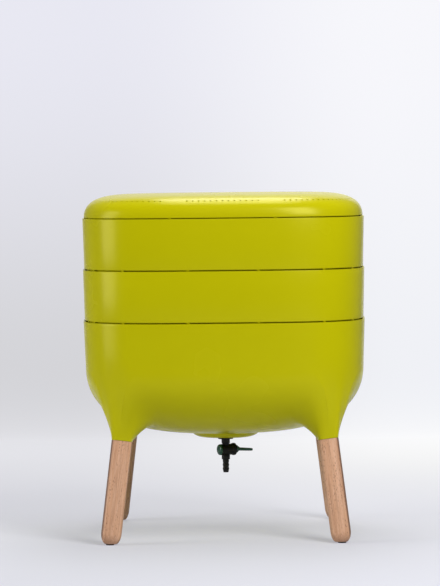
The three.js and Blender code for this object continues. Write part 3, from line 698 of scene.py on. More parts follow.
def tub_cavity():
    profile = []
    for part in shares(36):
        half, height = tub_skin(lerp(1, WALL_SHARE, part))
        inside = 0 if part == 0 else half * (1 - WALL / BOWL_HALF)
        profile.append((inside, height + WALL * (BOWL_TOP - height) / BOWL_DEPTH))
    mouth = RIM_HALF - WALL
    profile.append((mouth - 0.01 * MM, TUB_RIM - RIM_ROUNDING))
    profile.append((mouth + 0.3 * RIM_ROUNDING, TUB_RIM - 0.3 * RIM_ROUNDING))
    profile.append((mouth + RIM_ROUNDING, TUB_RIM))
    profile.append((mouth + RIM_ROUNDING, TUB_RIM + OVERRUN))
    profile.append((0, TUB_RIM + OVERRUN))
    return revolved(profile, 192, power_at=lambda half: tub_power(half + WALL))


# %% The saucer
def lens_line():
    """The saucer's underside, from its flat to its edge."""
    return [(lerp(SAUCER_FLAT, SAUCER_RADIUS, part), SAUCER_LEVEL + LENS_DROP * part ** LENS_POWER)
            for part in shares(14)]


def saucer():
    return lathed([
        (0, BOSS_LEVEL),
        (BOSS_RADIUS, BOSS_LEVEL),
        (BOSS_RADIUS + 2 * BOSS_DROP, SAUCER_LEVEL - 0.1 * MM),
        *lens_line(),
        (SAUCER_RADIUS, SAUCER_EDGE),
        (0, SAUCER_EDGE),
    ], 0.4 * MM, 160)


def saucer_inside():
    reach = SAUCER_RADIUS - WALL
    drawn_in = reach / SAUCER_RADIUS
    return revolved([
        (0, SAUCER_FLOOR), *[(radius * drawn_in, height + WALL) for radius, height in lens_line()[:-1]],
        (reach, SAUCER_EDGE), (reach, SAUCER_EDGE + OVERRUN), (0, SAUCER_EDGE + OVERRUN)], 160)


def cylinder(radius, low, high, steps=48):
    return revolved([(0, low), (radius, low), (radius, high), (0, high)], steps)


# %% [markdown]
# A tenon on each leg fills its socket and a screw pins it from the tub's side, in a recess. Both
# holes are cut here too, on the same axis as the leg and the screw that go into them.

# %% Places on the leg's axis
TENON_WIDTH = 20 * MM
TENON_LENGTH = 28 * MM
MORTISE_CLEARANCE = 0.35 * MM
SCREW_HEIGHT = 9 * MM
SCREW_HEAD = 3.6 * MM
SCREW_HEAD_DEPTH = 2 * MM
SCREW_SHANK = 1.7 * MM
SCREW_LENGTH = 15 * MM


def on_leg(quarter, along):
    up = Matrix.Translation(LEG_FOOT + LEG_UP * along) @ LEG_TILT.to_matrix().to_4x4()
    return around(quarter) @ up


def along_screw(quarter):
    direction = Vector((1, 1, 0)).normalized()
    start = direction * (-LEG_WIDTH / 2 * square_factor(math.pi / 4, LEG_POWER))
    start.z = SCREW_HEIGHT
    turn = Vector((0, 0, 1)).rotation_difference(direction).to_matrix().to_4x4()
    return on_leg(quarter, LEG_LENGTH) @ Matrix.Translation(start) @ turn


def screw_hole():
    head = SCREW_HEAD + REST_GAP
    shank = SCREW_SHANK + REST_GAP
    shoulder = SCREW_HEAD_DEPTH + REST_GAP
    end = SCREW_LENGTH + REST_GAP
    return revolved([(0, -LEG_WIDTH), (head, -LEG_WIDTH), (head, shoulder), (shank, shoulder),
                     (shank, end), (0, end)], 32)


# %% Mould the tub
def tub_mesh():
    mortise_half = TENON_WIDTH / 2 + MORTISE_CLEARANCE
    mortise_top = TENON_LENGTH + MORTISE_CLEARANCE
    mortise = revolved([(0, -OVERRUN), (mortise_half, -OVERRUN), (mortise_half, mortise_top),
                        (0, mortise_top)], 48, LEG_POWER)
    mortises = [moved(mortise, on_leg(quarter, LEG_LENGTH)) for quarter in range(4)]
    screw_holes = [moved(screw_hole(), along_screw(quarter)) for quarter in range(4)]
    drain = cylinder(DRAIN_RADIUS, BOSS_LEVEL - OVERRUN, SAUCER_EDGE + OVERRUN)
    return worked(tub_outside(), [
        (ADD, saucer()),
        (CUT, tub_cavity()),
        (CUT, saucer_inside()),
        (CUT, drain),
        (CUT, joined(mortises)),
        (CUT, joined(screw_holes)),
    ], bevel=0.7 * MM)


make_piece("tub_shell", tub_mesh(), LIME, "base", "base_tub")

# %% [markdown]
# ## The trays
# Each tray is a skirt that leans in by a millimetre or two, with a spigot below that drops inside
# the rim underneath and a floor full of holes, through which the worms climb. Small nubs under the
# skirt stand on that rim and hold the seam open for air, and show as pale breaks in a dark line.

# %% Tray sizes
TRAY_LEAN = 1.6 * MM
SPIGOT_DEPTH = 14 * MM
SPIGOT_HALF = RIM_HALF - WALL - 1.5 * MM
SPIGOT_LEAN = 0.8 * MM
FLOOR_THICKNESS = 2.5 * MM
HOLE_RADIUS = 4.5 * MM
HOLE_PITCH = 50 * MM
HOLES_ACROSS = 6
NUB_WIDTH = 3.2 * MM
NUB_DEPTH = 2.2 * MM
TRAY_NUBS = (45 * MM, 128.5 * MM)
LID_NUBS = (67 * MM,)
EDGE_ROUNDING = 0.6 * MM
PLAN_STEPS = 256


def seam_nubs(half, offsets, level, gap):
    """Blocks under a skirt, each turned to the plan curve at its place."""
    middle = half - 0.2 * MM - NUB_DEPTH / 2
    nubs = []
    for side in range(4):
        for offset in [sign * place for place in offsets for sign in (-1, 1)]:
            depth = (middle ** PLAN_POWER - abs(offset) ** PLAN_POWER) ** (1 / PLAN_POWER)
            lean = math.atan(math.copysign((abs(offset) / depth) ** (PLAN_POWER - 1), offset))
            nubs.append(block(around(side)
                              @ Matrix.Translation((offset, -depth, level + REST_GAP - gap / 2))
                              @ Matrix.Rotation(lean, 4, "Z")
                              @ Matrix.Diagonal((NUB_WIDTH, NUB_DEPTH, gap, 1))))
    return joined(nubs)


# %% A tray, by the level of its rim
def tray_mesh(rim):
    skirt_foot = rim - TRAY_PITCH + SEAM_GAP
    floor = rim - TRAY_PITCH - SPIGOT_DEPTH
    skirt_half = RIM_HALF - TRAY_LEAN
    shelf = skirt_foot + WALL
    walls = lathed([
        (0, floor),
        (SPIGOT_HALF - SPIGOT_LEAN, floor),
        (SPIGOT_HALF, skirt_foot),
        (skirt_half, skirt_foot),
        (RIM_HALF, rim),
        (RIM_HALF - WALL, rim),
        (skirt_half - WALL, shelf + WALL),
        (SPIGOT_HALF - WALL, shelf),
        (SPIGOT_HALF - SPIGOT_LEAN - WALL, floor + FLOOR_THICKNESS),
        (0, floor + FLOOR_THICKNESS),
    ], EDGE_ROUNDING, PLAN_STEPS, PLAN_POWER)
    lip = 0.5 * MM
    top = floor + FLOOR_THICKNESS
    core = revolved([
        (0, floor - OVERRUN), (HOLE_RADIUS + lip, floor - OVERRUN), (HOLE_RADIUS + lip, floor),
        (HOLE_RADIUS, floor + lip), (HOLE_RADIUS, top - lip), (HOLE_RADIUS + lip, top),
        (HOLE_RADIUS + lip, top + OVERRUN), (0, top + OVERRUN)], 32)
    reach = (HOLES_ACROSS - 1) / 2
    places = [(column - reach, row - reach) for row in range(HOLES_ACROSS) for column in range(HOLES_ACROSS)]
    cores = [moved(core, Matrix.Translation((x * HOLE_PITCH, y * HOLE_PITCH, 0)))
             for x, y in places if abs(x) != reach or abs(y) != reach]
    return worked(walls, [
        (CUT, joined(cores)),
        (ADD, seam_nubs(skirt_half, TRAY_NUBS, skirt_foot, SEAM_GAP)),
    ])


for tray, rim in (("lower_tray", LOWER_RIM), ("upper_tray", UPPER_RIM)):
    make_piece(f"{tray}_shell", tray_mesh(rim), LIME, tray, tray)

# %% [markdown]
# ## The lid
# The lid's skin rises from its edge almost straight and turns over a tight shoulder into a top that
# is nearly flat, which a superellipse with two different powers draws in one line. A row of
# pinholes follows the shoulder, a hand's breadth at the middle of each side and round each corner.

# %% Lid sizes
LID_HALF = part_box("lid")[1].x
LID_GAP = 1.2 * MM
LID_WALL = 2.6 * MM
LID_EDGE = UPPER_RIM + LID_GAP
LID_SIDE_POWER = 10
LID_RISE_POWER = 2.1
LID_LIP_DEPTH = 11 * MM
LID_LIP = 2.2 * MM
LID_ROWS = 40
VENT_RADIUS = 1.3 * MM
VENT_PITCH = 7.6 * MM
VENT_INSET = 12.5 * MM
VENTS_ON_SIDE = 13
VENTS_ON_CORNER = 19


def lid_point(part, inset):
    turn = part * QUARTER
    half = (LID_HALF - inset) * max(math.cos(turn), 0) ** (2 / LID_SIDE_POWER)
    rise = (LID_CROWN - LID_EDGE - inset) * math.sin(turn) ** (2 / LID_RISE_POWER)
    return half, LID_EDGE + rise


# %% The row of vents
def vent_row():
    """Places of the vents in one quarter: the middle of the side and the corner beside it."""
    curve = [plan_point(LID_HALF - VENT_INSET, part * QUARTER, 0, PLAN_POWER) for part in shares(2048)]
    walked = [0]
    for before, after in zip(curve, curve[1:]):
        walked.append(walked[-1] + (after - before).length)

    def point_at(distance):
        nearest = min(range(len(walked)), key=lambda index: abs(walked[index] - abs(distance)))
        point = curve[nearest]
        return Vector((point.x, math.copysign(point.y, distance), 0))

    side = [(vent - (VENTS_ON_SIDE - 1) / 2) * VENT_PITCH for vent in range(VENTS_ON_SIDE)]
    corner = [walked[-1] / 2 + (vent - (VENTS_ON_CORNER - 1) / 2) * VENT_PITCH
              for vent in range(VENTS_ON_CORNER)]
    return [point_at(distance) for distance in side + corner]


# %% Mould the lid
def lid_mesh():
    parts = [row / LID_ROWS for row in range(LID_ROWS)]
    inside = [lid_point(part, LID_WALL) for part in parts[LID_ROWS // 8:]][::-1]
    lip_foot = UPPER_RIM - LID_LIP_DEPTH
    shell = lathed([
        (0, LID_CROWN - LID_WALL),
        *inside,
        (SPIGOT_HALF - LID_LIP, LID_EDGE + LID_WALL),
        (SPIGOT_HALF - SPIGOT_LEAN - LID_LIP, lip_foot),
        (SPIGOT_HALF - SPIGOT_LEAN, lip_foot),
        (SPIGOT_HALF, LID_EDGE),
        *[lid_point(part, 0) for part in parts],
        (0, LID_CROWN),
    ], EDGE_ROUNDING, PLAN_STEPS, PLAN_POWER)
    core = cylinder(VENT_RADIUS, LID_EDGE + LID_WALL, LID_CROWN + OVERRUN, 16)
    row = vent_row()
    cores = [moved(core, around(side) @ Matrix.Translation(place))
             for side in range(4) for place in row]
    print("vents", len(cores))
    return worked(shell, [
        (CUT, joined(cores)),
        (ADD, seam_nubs(LID_HALF, LID_NUBS, LID_EDGE, LID_GAP)),
    ])


make_piece("lid_shell", lid_mesh(), LIME, "lid", "lid")

# %% [markdown]
# ## The legs
# A leg is turned stock brought to a soft square, rounded over at the foot, with a smaller tenon at
# the top. Its grain runs along it, so each leg's finish is tilted to the leg and starts at another
# place in the board. Under each foot a rubber glide is nailed on, which keeps the wood off the wet.

# %% Leg, glide and screw
FOOT_INSET = 8.8 * MM
FOOT_RISE = 15 * MM
GLIDE_RADIUS = 5.4 * MM
GLIDE_THICKNESS = 1.5 * MM
NAIL_RADIUS = 1 * MM
NAIL_LENGTH = 11 * MM


def leg_mesh():
    half = LEG_WIDTH / 2
    foot = [(half - FOOT_INSET * (1 - math.sin(part * QUARTER)), FOOT_RISE * (1 - math.cos(part * QUARTER)))
            for part in shares(14)]
    shoulder = LEG_LENGTH - REST_GAP
    tenon = TENON_WIDTH / 2
    top = LEG_LENGTH + TENON_LENGTH
    blank = lathed([
        (0, 0), *foot, (half, shoulder), (tenon, shoulder), (tenon, top - 1.5 * MM),
        (tenon - 1.5 * MM, top), (0, top)], 0.4 * MM, 96, LEG_POWER)
    upright = LEG_TILT.inverted().to_matrix().to_4x4()
    seat = cylinder(LEG_WIDTH, -LEG_WIDTH, GLIDE_THICKNESS + REST_GAP)
    nail = cylinder(NAIL_RADIUS + REST_GAP, 0, GLIDE_THICKNESS + NAIL_LENGTH + REST_GAP, 24)
    hole = moved(screw_hole(), on_leg(0, 0).inverted() @ along_screw(0))
    return worked(blank, [(CUT, moved(seat, upright)), (CUT, moved(nail, upright)),
                          (CUT, hole)])


def glide_mesh():
    return lathed([
        (0, 0), (GLIDE_RADIUS, 0), (GLIDE_RADIUS, GLIDE_THICKNESS), (NAIL_RADIUS, GLIDE_THICKNESS),
        (NAIL_RADIUS, GLIDE_THICKNESS + NAIL_LENGTH - NAIL_RADIUS), (0, GLIDE_THICKNESS + NAIL_LENGTH),
    ], 0.6 * MM, 48)


def screw_mesh():
    groove = block(Matrix.Diagonal((10 * MM, 1 * MM, 1.8 * MM, 1)))
    body = lathed([
        (0, 0), (SCREW_HEAD, 0), (SCREW_HEAD, SCREW_HEAD_DEPTH / 2), (SCREW_SHANK, SCREW_HEAD_DEPTH),
        (SCREW_SHANK, SCREW_LENGTH - SCREW_SHANK), (0, SCREW_LENGTH)], 0.3 * MM, 32)
    return worked(body, [(CUT, groove)])


# %% Stand the tub on its legs
# Painted light: the back legs' tones are paler than the front legs' to make them look better lit.
LEG_TONES_WITH_PAINTED_LIGHT = {"front": ((0.530, 0.284, 0.160), (0.690, 0.408, 0.260)),
          "back": ((0.570, 0.325, 0.195), (0.740, 0.465, 0.310))}
leg_shape, glide_shape, screw_shape = leg_mesh(), glide_mesh(), screw_mesh()
for quarter, corner in enumerate(CORNERS):
    turned = around(quarter)
    upright = on_leg(quarter, 0).inverted()
    aside = turned.inverted() @ Vector((-1 if "left" in corner else 1, 0, 0))
    board = beech_finish(f"beech_{corner}", upright, (round(aside.x), round(aside.y), 0),
                         (0.31 * quarter, 0.17 * quarter, 0.43 * quarter), *LEG_TONES_WITH_PAINTED_LIGHT[corner.split("_")[0]])
    make_piece(f"leg_wood_{corner}", moved(leg_shape, on_leg(quarter, 0)), board, "base",
               f"leg_{corner}", slot="beech")
    make_piece(f"glide_{corner}", moved(glide_shape, turned @ Matrix.Translation(LEG_FOOT)), RUBBER, "base",
               f"foot_glide_{corner}")
    make_piece(f"screw_{corner}", moved(screw_shape, along_screw(quarter)), ZINC, "base",
               f"leg_screw_{corner}")

# %% [markdown]
# ## The tap
# The tap is a plug valve: a barrel lies across the spout, a round key turns in it, and a cross
# hole in the key lets the liquid through once it is turned. All of it is lathe work apart from the
# paddle. It is made in its own frame, with the flow down Z and the barrel along X.

# %% The tap's place and sizes
TAP_TURN = math.radians(29)
TAP_AXIS_DROP = 15.1 * MM
GASKET = 0.8 * MM
GASKET_RADIUS = 10.6 * MM
TAP_LEVEL = BOSS_LEVEL - 2 * REST_GAP - GASKET - TAP_AXIS_DROP
TAP = Matrix.Translation((0, 0, TAP_LEVEL)) @ Matrix.Rotation(TAP_TURN, 4, "Z")
LAY_DOWN = Matrix.Rotation(QUARTER, 4, "Y")
FLANGE_RADIUS = 10 * MM
FLANGE = 0.9 * MM
STEM_RADIUS = 5 * MM
FLOW_RADIUS = 2.6 * MM
NECK_RADIUS = 5.6 * MM
NECK_LENGTH = 5.4 * MM
WAIST_RADIUS = 4.7 * MM
STEP = 1 * MM
BARREL_RADIUS = 7.4 * MM
BARREL_LEFT = 8 * MM
BARREL_RIGHT = 13.4 * MM
COLLAR_RADIUS = 8.2 * MM
COLLAR_LENGTH = 4 * MM
TAIL_COLLAR_RADIUS = 5.5 * MM
TAIL_COLLAR_LENGTH = 5.7 * MM
TAIL_RADIUS = 3.7 * MM
BARB_RADIUS = 4.4 * MM
BARBS = 3
BARB_RISE = 0.3
STEM_PROUD = 1.5 * MM
BARB_PITCH = 5.2 * MM
TAIL_TIP = 1.7 * MM
PLUG_RADIUS = 4.6 * MM
PLUG_CLEARANCE = 0.3 * MM
NUT_LEVEL = SAUCER_FLOOR + REST_GAP + GASKET + REST_GAP
NUT_THICKNESS = 6 * MM
NUT_ACROSS = 17 * MM


# %% The tap's body
def tap_body_mesh():
    flange_foot = TAP_AXIS_DROP - FLANGE
    neck_foot = flange_foot - NECK_LENGTH
    stem_top = NUT_LEVEL + NUT_THICKNESS + STEM_PROUD - TAP_LEVEL
    collar_top = STEP - BARREL_RADIUS
    collar_foot = -BARREL_RADIUS - TAIL_COLLAR_LENGTH
    barbs = []
    for barb in range(BARBS):
        top = collar_foot - barb * BARB_PITCH
        barbs += [(TAIL_RADIUS, top), (BARB_RADIUS, top - BARB_RISE * BARB_PITCH)]
    tail_foot = collar_foot - BARBS * BARB_PITCH - TAIL_TIP
    spout = lathed([
        (0, stem_top), (STEM_RADIUS, stem_top), (STEM_RADIUS, TAP_AXIS_DROP),
        (FLANGE_RADIUS, TAP_AXIS_DROP), (FLANGE_RADIUS, flange_foot), (NECK_RADIUS, flange_foot),
        (NECK_RADIUS, neck_foot), (WAIST_RADIUS, neck_foot - STEP), (WAIST_RADIUS, collar_top),
        (TAIL_COLLAR_RADIUS, collar_top - STEP), (TAIL_COLLAR_RADIUS, collar_foot), *barbs,
        (TAIL_RADIUS, tail_foot + TAIL_TIP), (TAIL_RADIUS - 0.3 * MM, tail_foot), (0, tail_foot),
    ][::-1], 0.3 * MM, 64)
    barrel = lathed([
        (0, -BARREL_LEFT), (BARREL_RADIUS, -BARREL_LEFT), (BARREL_RADIUS, BARREL_RIGHT - COLLAR_LENGTH),
        (COLLAR_RADIUS, BARREL_RIGHT - COLLAR_LENGTH + 0.8 * MM), (COLLAR_RADIUS, BARREL_RIGHT),
        (0, BARREL_RIGHT)], 0.7 * MM, 64)
    bore = cylinder(PLUG_RADIUS + PLUG_CLEARANCE, -BARREL_LEFT - OVERRUN, BARREL_RIGHT + OVERRUN)
    flow = cylinder(FLOW_RADIUS, tail_foot - OVERRUN, stem_top + OVERRUN, 32)
    return worked(spout, [(ADD, moved(barrel, LAY_DOWN)), (CUT, moved(bore, LAY_DOWN)),
                          (CUT, flow)])


make_piece("tap_body_shell", moved(tap_body_mesh(), TAP), BLACK, "base", "tap_body")

# %% [markdown]
# The key's paddle is a flat tongue that widens and thins towards its tip, with a ridge where the
# thumb presses. A bevel modifier rounds its rim, as the mould's parting edges are rounded.

# %% Sizes of the key
HUB_RADIUS = 5.2 * MM
HUB_LENGTH = 3 * MM
PIN_RADIUS = 2.4 * MM
CAP_RADIUS = 7.3 * MM
CAP_THICKNESS = 3.2 * MM
CAP_PLAY = 0.35 * MM
CAP_POWER = 0.7
PADDLE_LENGTH = 25 * MM
PADDLE_ROOT = 8 * MM
PADDLE_TIP = 13 * MM
PADDLE_THICKNESS = 4.4 * MM
PADDLE_TIP_SHARE = 0.75
PADDLE_DROOP = 1.8 * MM
RIDGE_LENGTH = 7 * MM
RIDGE_HEIGHT = 2.4 * MM
RIDGE_WIDTH = 3 * MM
SEAL = 0.9 * MM
SEAL_OFFSET = 5 * MM
HUB_START = BARREL_RIGHT + PLUG_CLEARANCE
HUB_END = HUB_START + HUB_LENGTH


# %% The paddle and its ridge
def slab(outline, low, high):
    """A plate from an outline of (x, y) points, between two heights."""
    plate = bmesh.new()
    bottom = [plate.verts.new((x, y, low)) for x, y in outline]
    top = [plate.verts.new((x, y, high)) for x, y in outline]
    plate.faces.new(bottom)
    plate.faces.new(top)
    for index in range(len(outline)):
        after = (index + 1) % len(outline)
        plate.faces.new((bottom[index], bottom[after], top[after], top[index]))
    bmesh.ops.recalc_face_normals(plate, faces=plate.faces)
    return as_mesh(plate, "slab")


def paddle_mesh():
    start = HUB_START + HUB_LENGTH / 2
    tip = PADDLE_TIP / 2
    middle = start + PADDLE_LENGTH - tip
    turns = [-QUARTER + part * math.pi for part in shares(24)]
    outline = [(start, -PADDLE_ROOT / 2),
               *[(middle + tip * math.cos(turn), tip * math.sin(turn)) for turn in turns],
               (start, PADDLE_ROOT / 2)]
    tongue = slab(outline, -PADDLE_THICKNESS / 2, PADDLE_THICKNESS / 2)
    for vertex in tongue.vertices:
        share = (vertex.co.x - start) / PADDLE_LENGTH
        vertex.co.z = vertex.co.z * lerp(1, PADDLE_TIP_SHARE, share) - PADDLE_DROOP * share
    return worked(tongue, [], bevel=1.1 * MM)


def ridge_mesh():
    start = HUB_START + HUB_LENGTH / 2
    crest = PADDLE_THICKNESS / 2 + RIDGE_HEIGHT
    half = [(start, -crest), (HUB_END, -crest), (HUB_END + RIDGE_LENGTH, 0), (HUB_END, crest), (start, crest)]
    upright = slab(softened(half, 1.5 * MM, closed=True, steps=5), -RIDGE_WIDTH / 2, RIDGE_WIDTH / 2)
    return worked(moved(upright, Matrix.Rotation(QUARTER, 4, "X")), [], bevel=0.5 * MM)


# %% The key, its cap and its rings
def key_mesh():
    pin_end = -BARREL_LEFT - CAP_PLAY - CAP_THICKNESS / 2
    profile = [(0, pin_end), (PIN_RADIUS, pin_end), (PIN_RADIUS, -BARREL_LEFT), (PLUG_RADIUS, -BARREL_LEFT)]
    for middle in (-SEAL_OFFSET, SEAL_OFFSET):
        profile += [(PLUG_RADIUS, middle - SEAL), (PLUG_RADIUS - SEAL, middle - SEAL),
                    (PLUG_RADIUS - SEAL, middle + SEAL), (PLUG_RADIUS, middle + SEAL)]
    profile += [(PLUG_RADIUS, HUB_START), (HUB_RADIUS, HUB_START), (HUB_RADIUS, HUB_END), (0, HUB_END)]
    plug = moved(lathed(profile, 0.2 * MM, 48), LAY_DOWN)
    across = moved(cylinder(FLOW_RADIUS, -2 * PLUG_RADIUS, 2 * PLUG_RADIUS, 32),
                   Matrix.Rotation(QUARTER, 4, "X"))
    return worked(plug, [(ADD, paddle_mesh()), (ADD, ridge_mesh()), (CUT, across)])


def cap_mesh():
    face = -BARREL_LEFT - CAP_PLAY
    pocket = face - CAP_THICKNESS / 2 - REST_GAP
    hole = PIN_RADIUS + REST_GAP
    turns = [part * QUARTER for part in shares(12)]
    dome = [(CAP_RADIUS * math.sin(turn), face - CAP_THICKNESS * max(math.cos(turn), 0) ** CAP_POWER)
            for turn in turns]
    profile = [*dome, (hole, face), (hole, pocket), (0, pocket)]
    return moved(lathed(profile, 0.4 * MM, 64), LAY_DOWN)


def ring_mesh(inner, outer, low, high, rounding):
    profile = softened([(inner, low), (outer, low), (outer, high), (inner, high)], rounding, closed=True)
    return revolved(profile, 48)


# %% Fit the key
make_piece("tap_key_shell", moved(key_mesh(), TAP), GREEN, "tap_key", "tap_key")
make_piece("tap_cap_shell", moved(cap_mesh(), TAP), GREEN, "tap_key", "tap_key_cap")
for side, offset in (("left", -SEAL_OFFSET), ("right", SEAL_OFFSET)):
    clearance = PLUG_CLEARANCE / 3
    seal = ring_mesh(PLUG_RADIUS - SEAL + clearance, PLUG_RADIUS + PLUG_CLEARANCE - clearance,
                     offset - SEAL + clearance, offset + SEAL - clearance, 0.3 * MM)
    make_piece(f"seal_{side}", moved(seal, TAP @ LAY_DOWN), RUBBER, "tap_key", f"key_seal_{side}")

# %% [markdown]
# ## Inside the tub
# The stem passes up through the drain between two gaskets and is held by a nut. A strainer stands
# over the nut like an upturned cup, with slots up from its edge that let the liquid in.

# %% Gaskets and nut
for side, radius, low in (("outer", GASKET_RADIUS, BOSS_LEVEL - REST_GAP - GASKET),
                          ("inner", NUT_ACROSS / 2, SAUCER_FLOOR + REST_GAP)):
    gasket = ring_mesh(DRAIN_RADIUS, radius, low, low + GASKET, 0.25 * MM)
    make_piece(f"gasket_{side}", gasket, RUBBER, "base", f"{side}_gasket")


def nut_mesh():
    reach = NUT_ACROSS / 2 / math.cos(math.pi / 6)
    hexagon = [(reach * math.cos(side * math.pi / 3), reach * math.sin(side * math.pi / 3))
               for side in range(6)]
    blank = slab(hexagon, NUT_LEVEL, NUT_LEVEL + NUT_THICKNESS)
    hole = cylinder(DRAIN_RADIUS, NUT_LEVEL - OVERRUN, NUT_LEVEL + NUT_THICKNESS + OVERRUN)
    return worked(blank, [(CUT, hole)], bevel=0.5 * MM)


make_piece("nut", nut_mesh(), BLACK, "base", "lock_nut")


# %% Strainer
STRAINER_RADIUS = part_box("drain_strainer")[1].x
STRAINER_LOW, STRAINER_HIGH = (corner.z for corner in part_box("drain_strainer"))
STRAINER_WALL = 1.6 * MM
STRAINER_SLOTS = 12
SLOT_WIDTH = 4 * MM
SLOT_HEIGHT = 9 * MM


def strainer_mesh():
    inside = STRAINER_RADIUS - STRAINER_WALL
    cup = lathed([
        (inside, STRAINER_LOW), (STRAINER_RADIUS, STRAINER_LOW),
        (STRAINER_RADIUS, STRAINER_HIGH - STRAINER_WALL), (inside, STRAINER_HIGH), (0, STRAINER_HIGH),
        (0, STRAINER_HIGH - STRAINER_WALL), (inside, STRAINER_HIGH - STRAINER_WALL)], 0.5 * MM, 96)
    cutters = []
    for number in range(STRAINER_SLOTS):
        bar = slab([(STRAINER_RADIUS / 2, -SLOT_WIDTH / 2), (2 * STRAINER_RADIUS, -SLOT_WIDTH / 2),
                    (2 * STRAINER_RADIUS, SLOT_WIDTH / 2), (STRAINER_RADIUS / 2, SLOT_WIDTH / 2)],
                   STRAINER_LOW - OVERRUN, STRAINER_LOW + SLOT_HEIGHT)
        cutters.append(moved(bar, Matrix.Rotation(number / STRAINER_SLOTS * 2 * math.pi, 4, "Z")))
    return worked(cup, [(CUT, joined(cutters))])


make_piece("strainer", strainer_mesh(), BLACK, "strainer", "drain_strainer")

# %% [markdown]
# ## The coir mat
# The mat is felted coconut fibre, so its faces are uneven and stray strands stand out of them. A
# plain slab with a bump would look printed: here the faces' points are shifted at random, and
# fifteen hundred bent strands are laid in and on them, each a thin three-sided tube.

# %% Mat slab
MAT_LOW, MAT_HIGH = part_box("coir_mat")
MAT_HALF = MAT_HIGH.x - 2.5 * MM
MAT_BULGE = 1.8 * MM
MAT_SUNK = 1.2 * MM
MAT_UNEVEN = 0.35 * MM
FIBRES = 1500
FIBRE_RADIUS = 0.16 * MM
FIBRE_SIDES = 3
FIBRE_STEPS = 6
FIBRE_LEVEL = 1.1 * MM
FIBRE_MARGIN = 6 * MM
UPPER_SHARE = 0.7


def mat_slab():
    top, bottom = MAT_HIGH.z - MAT_SUNK, MAT_LOW.z + MAT_SUNK
    outwards = [MAT_HALF * part ** 0.8 for part in shares(44)]
    middle = (top + bottom) / 2
    profile = [(half, bottom) for half in outwards]
    near = MAT_HALF + 1.5 * MM
    profile += [(near, lerp(bottom, middle, 0.4)), (MAT_HALF + MAT_BULGE, middle),
                (near, lerp(top, middle, 0.4))]
    profile += [(half, top) for half in outwards[::-1]]
    return revolved(profile, 192, PLAN_POWER)


def strand(points, radius):
    """A thin tube along a list of points."""
    tube = bmesh.new()
    rings = []
    for index, point in enumerate(points):
        before, after = points[max(index - 1, 0)], points[min(index + 1, len(points) - 1)]
        turn = Vector((0, 0, 1)).rotation_difference((after - before).normalized())
        ring = []
        for side in range(FIBRE_SIDES):
            angle = side * 2 * math.pi / FIBRE_SIDES
            out = Vector((math.cos(angle), math.sin(angle), 0)) * radius
            out.rotate(turn)
            ring.append(tube.verts.new(point + out))
        rings.append(ring)
    for lower, upper in zip(rings, rings[1:]):
        for side in range(FIBRE_SIDES):
            after = (side + 1) % FIBRE_SIDES
            tube.faces.new((lower[side], lower[after], upper[after], upper[side]))
    tube.faces.new(rings[0][::-1])
    tube.faces.new(rings[-1])
    return tube


# %% Lay the fibres
def mat_mesh():
    chance = random.Random(11)
    whole = bmesh.new()
    whole.from_mesh(mat_slab())
    for vertex in whole.verts:
        vertex.co.z += chance.uniform(-1, 1) * MAT_UNEVEN
    for _ in range(FIBRES):
        upper = chance.random() < UPPER_SHARE
        face = MAT_HIGH.z - FIBRE_LEVEL if upper else MAT_LOW.z + FIBRE_LEVEL
        angle = chance.uniform(0, 2 * math.pi)
        reach = (MAT_HALF - FIBRE_MARGIN) * square_factor(angle, PLAN_POWER) * chance.random() ** 0.5
        start = Vector((reach * math.cos(angle), reach * math.sin(angle), face))
        heading = chance.uniform(0, 2 * math.pi)
        bend = chance.uniform(-0.5, 0.5)
        length = chance.uniform(8, 22) * MM
        lift = chance.uniform(0.2, 0.7) * MM * (1 if upper else -1)
        points = [start.copy()]
        for step in range(1, FIBRE_STEPS + 1):
            heading += bend * 0.6
            start += Vector((math.cos(heading), math.sin(heading), 0)) * length / FIBRE_STEPS
            inside = (abs(start.x) ** PLAN_POWER + abs(start.y) ** PLAN_POWER) ** (1 / PLAN_POWER)
            if inside > MAT_HALF:
                break
            points.append(start + Vector((0, 0, lift * math.sin(step / FIBRE_STEPS * math.pi))))
        if len(points) > 2:
            fibre = as_mesh(strand(points, FIBRE_RADIUS * chance.uniform(0.7, 1.3)), "fibre")
            whole.from_mesh(fibre)
            bpy.data.meshes.remove(fibre)
    return as_mesh(whole, "coir")


mat = make_piece("mat_fibre", mat_mesh(), COIR, "mat", "coir_mat")

# %% [markdown]
# ## Floor, backdrop and light
# The object stands on a pale paper sweep: a floor that curves up into a wall, so no line shows
# behind it. Its glow is painted light and shade, which changes with height and from left to right:
# lighter on the right, darker on the left and where it curves up. The plastic mirrors only the wall
# and a dim room beside it, so its colour stays deep. The camera sees a pale world past the paper's
# ends, and looks through the wall from behind.

# %% The sweep's shape
FLOOR_NEAR = -1.5
SWEEP_START = 1.6
SWEEP_RADIUS = 1.2
SWEEP_TOP = 2.6
SWEEP_HALF = 0.9


def sweep_mesh():
    turns = [part * QUARTER for part in shares(24)]
    line = [(FLOOR_NEAR, 0),
            *[(SWEEP_START + SWEEP_RADIUS * math.sin(turn), SWEEP_RADIUS * (1 - math.cos(turn)))
              for turn in turns],
            (SWEEP_START + SWEEP_RADIUS, SWEEP_TOP)]
    points = [(x, y, z) for y, z in line for x in (-SWEEP_HALF, SWEEP_HALF)]
    faces = [(2 * i, 2 * i + 1, 2 * i + 3, 2 * i + 2) for i in range(len(line) - 1)]
    mesh = bpy.data.meshes.new("sweep")
    mesh.from_pydata(points, [], faces)
    mesh.shade_smooth()
    return mesh


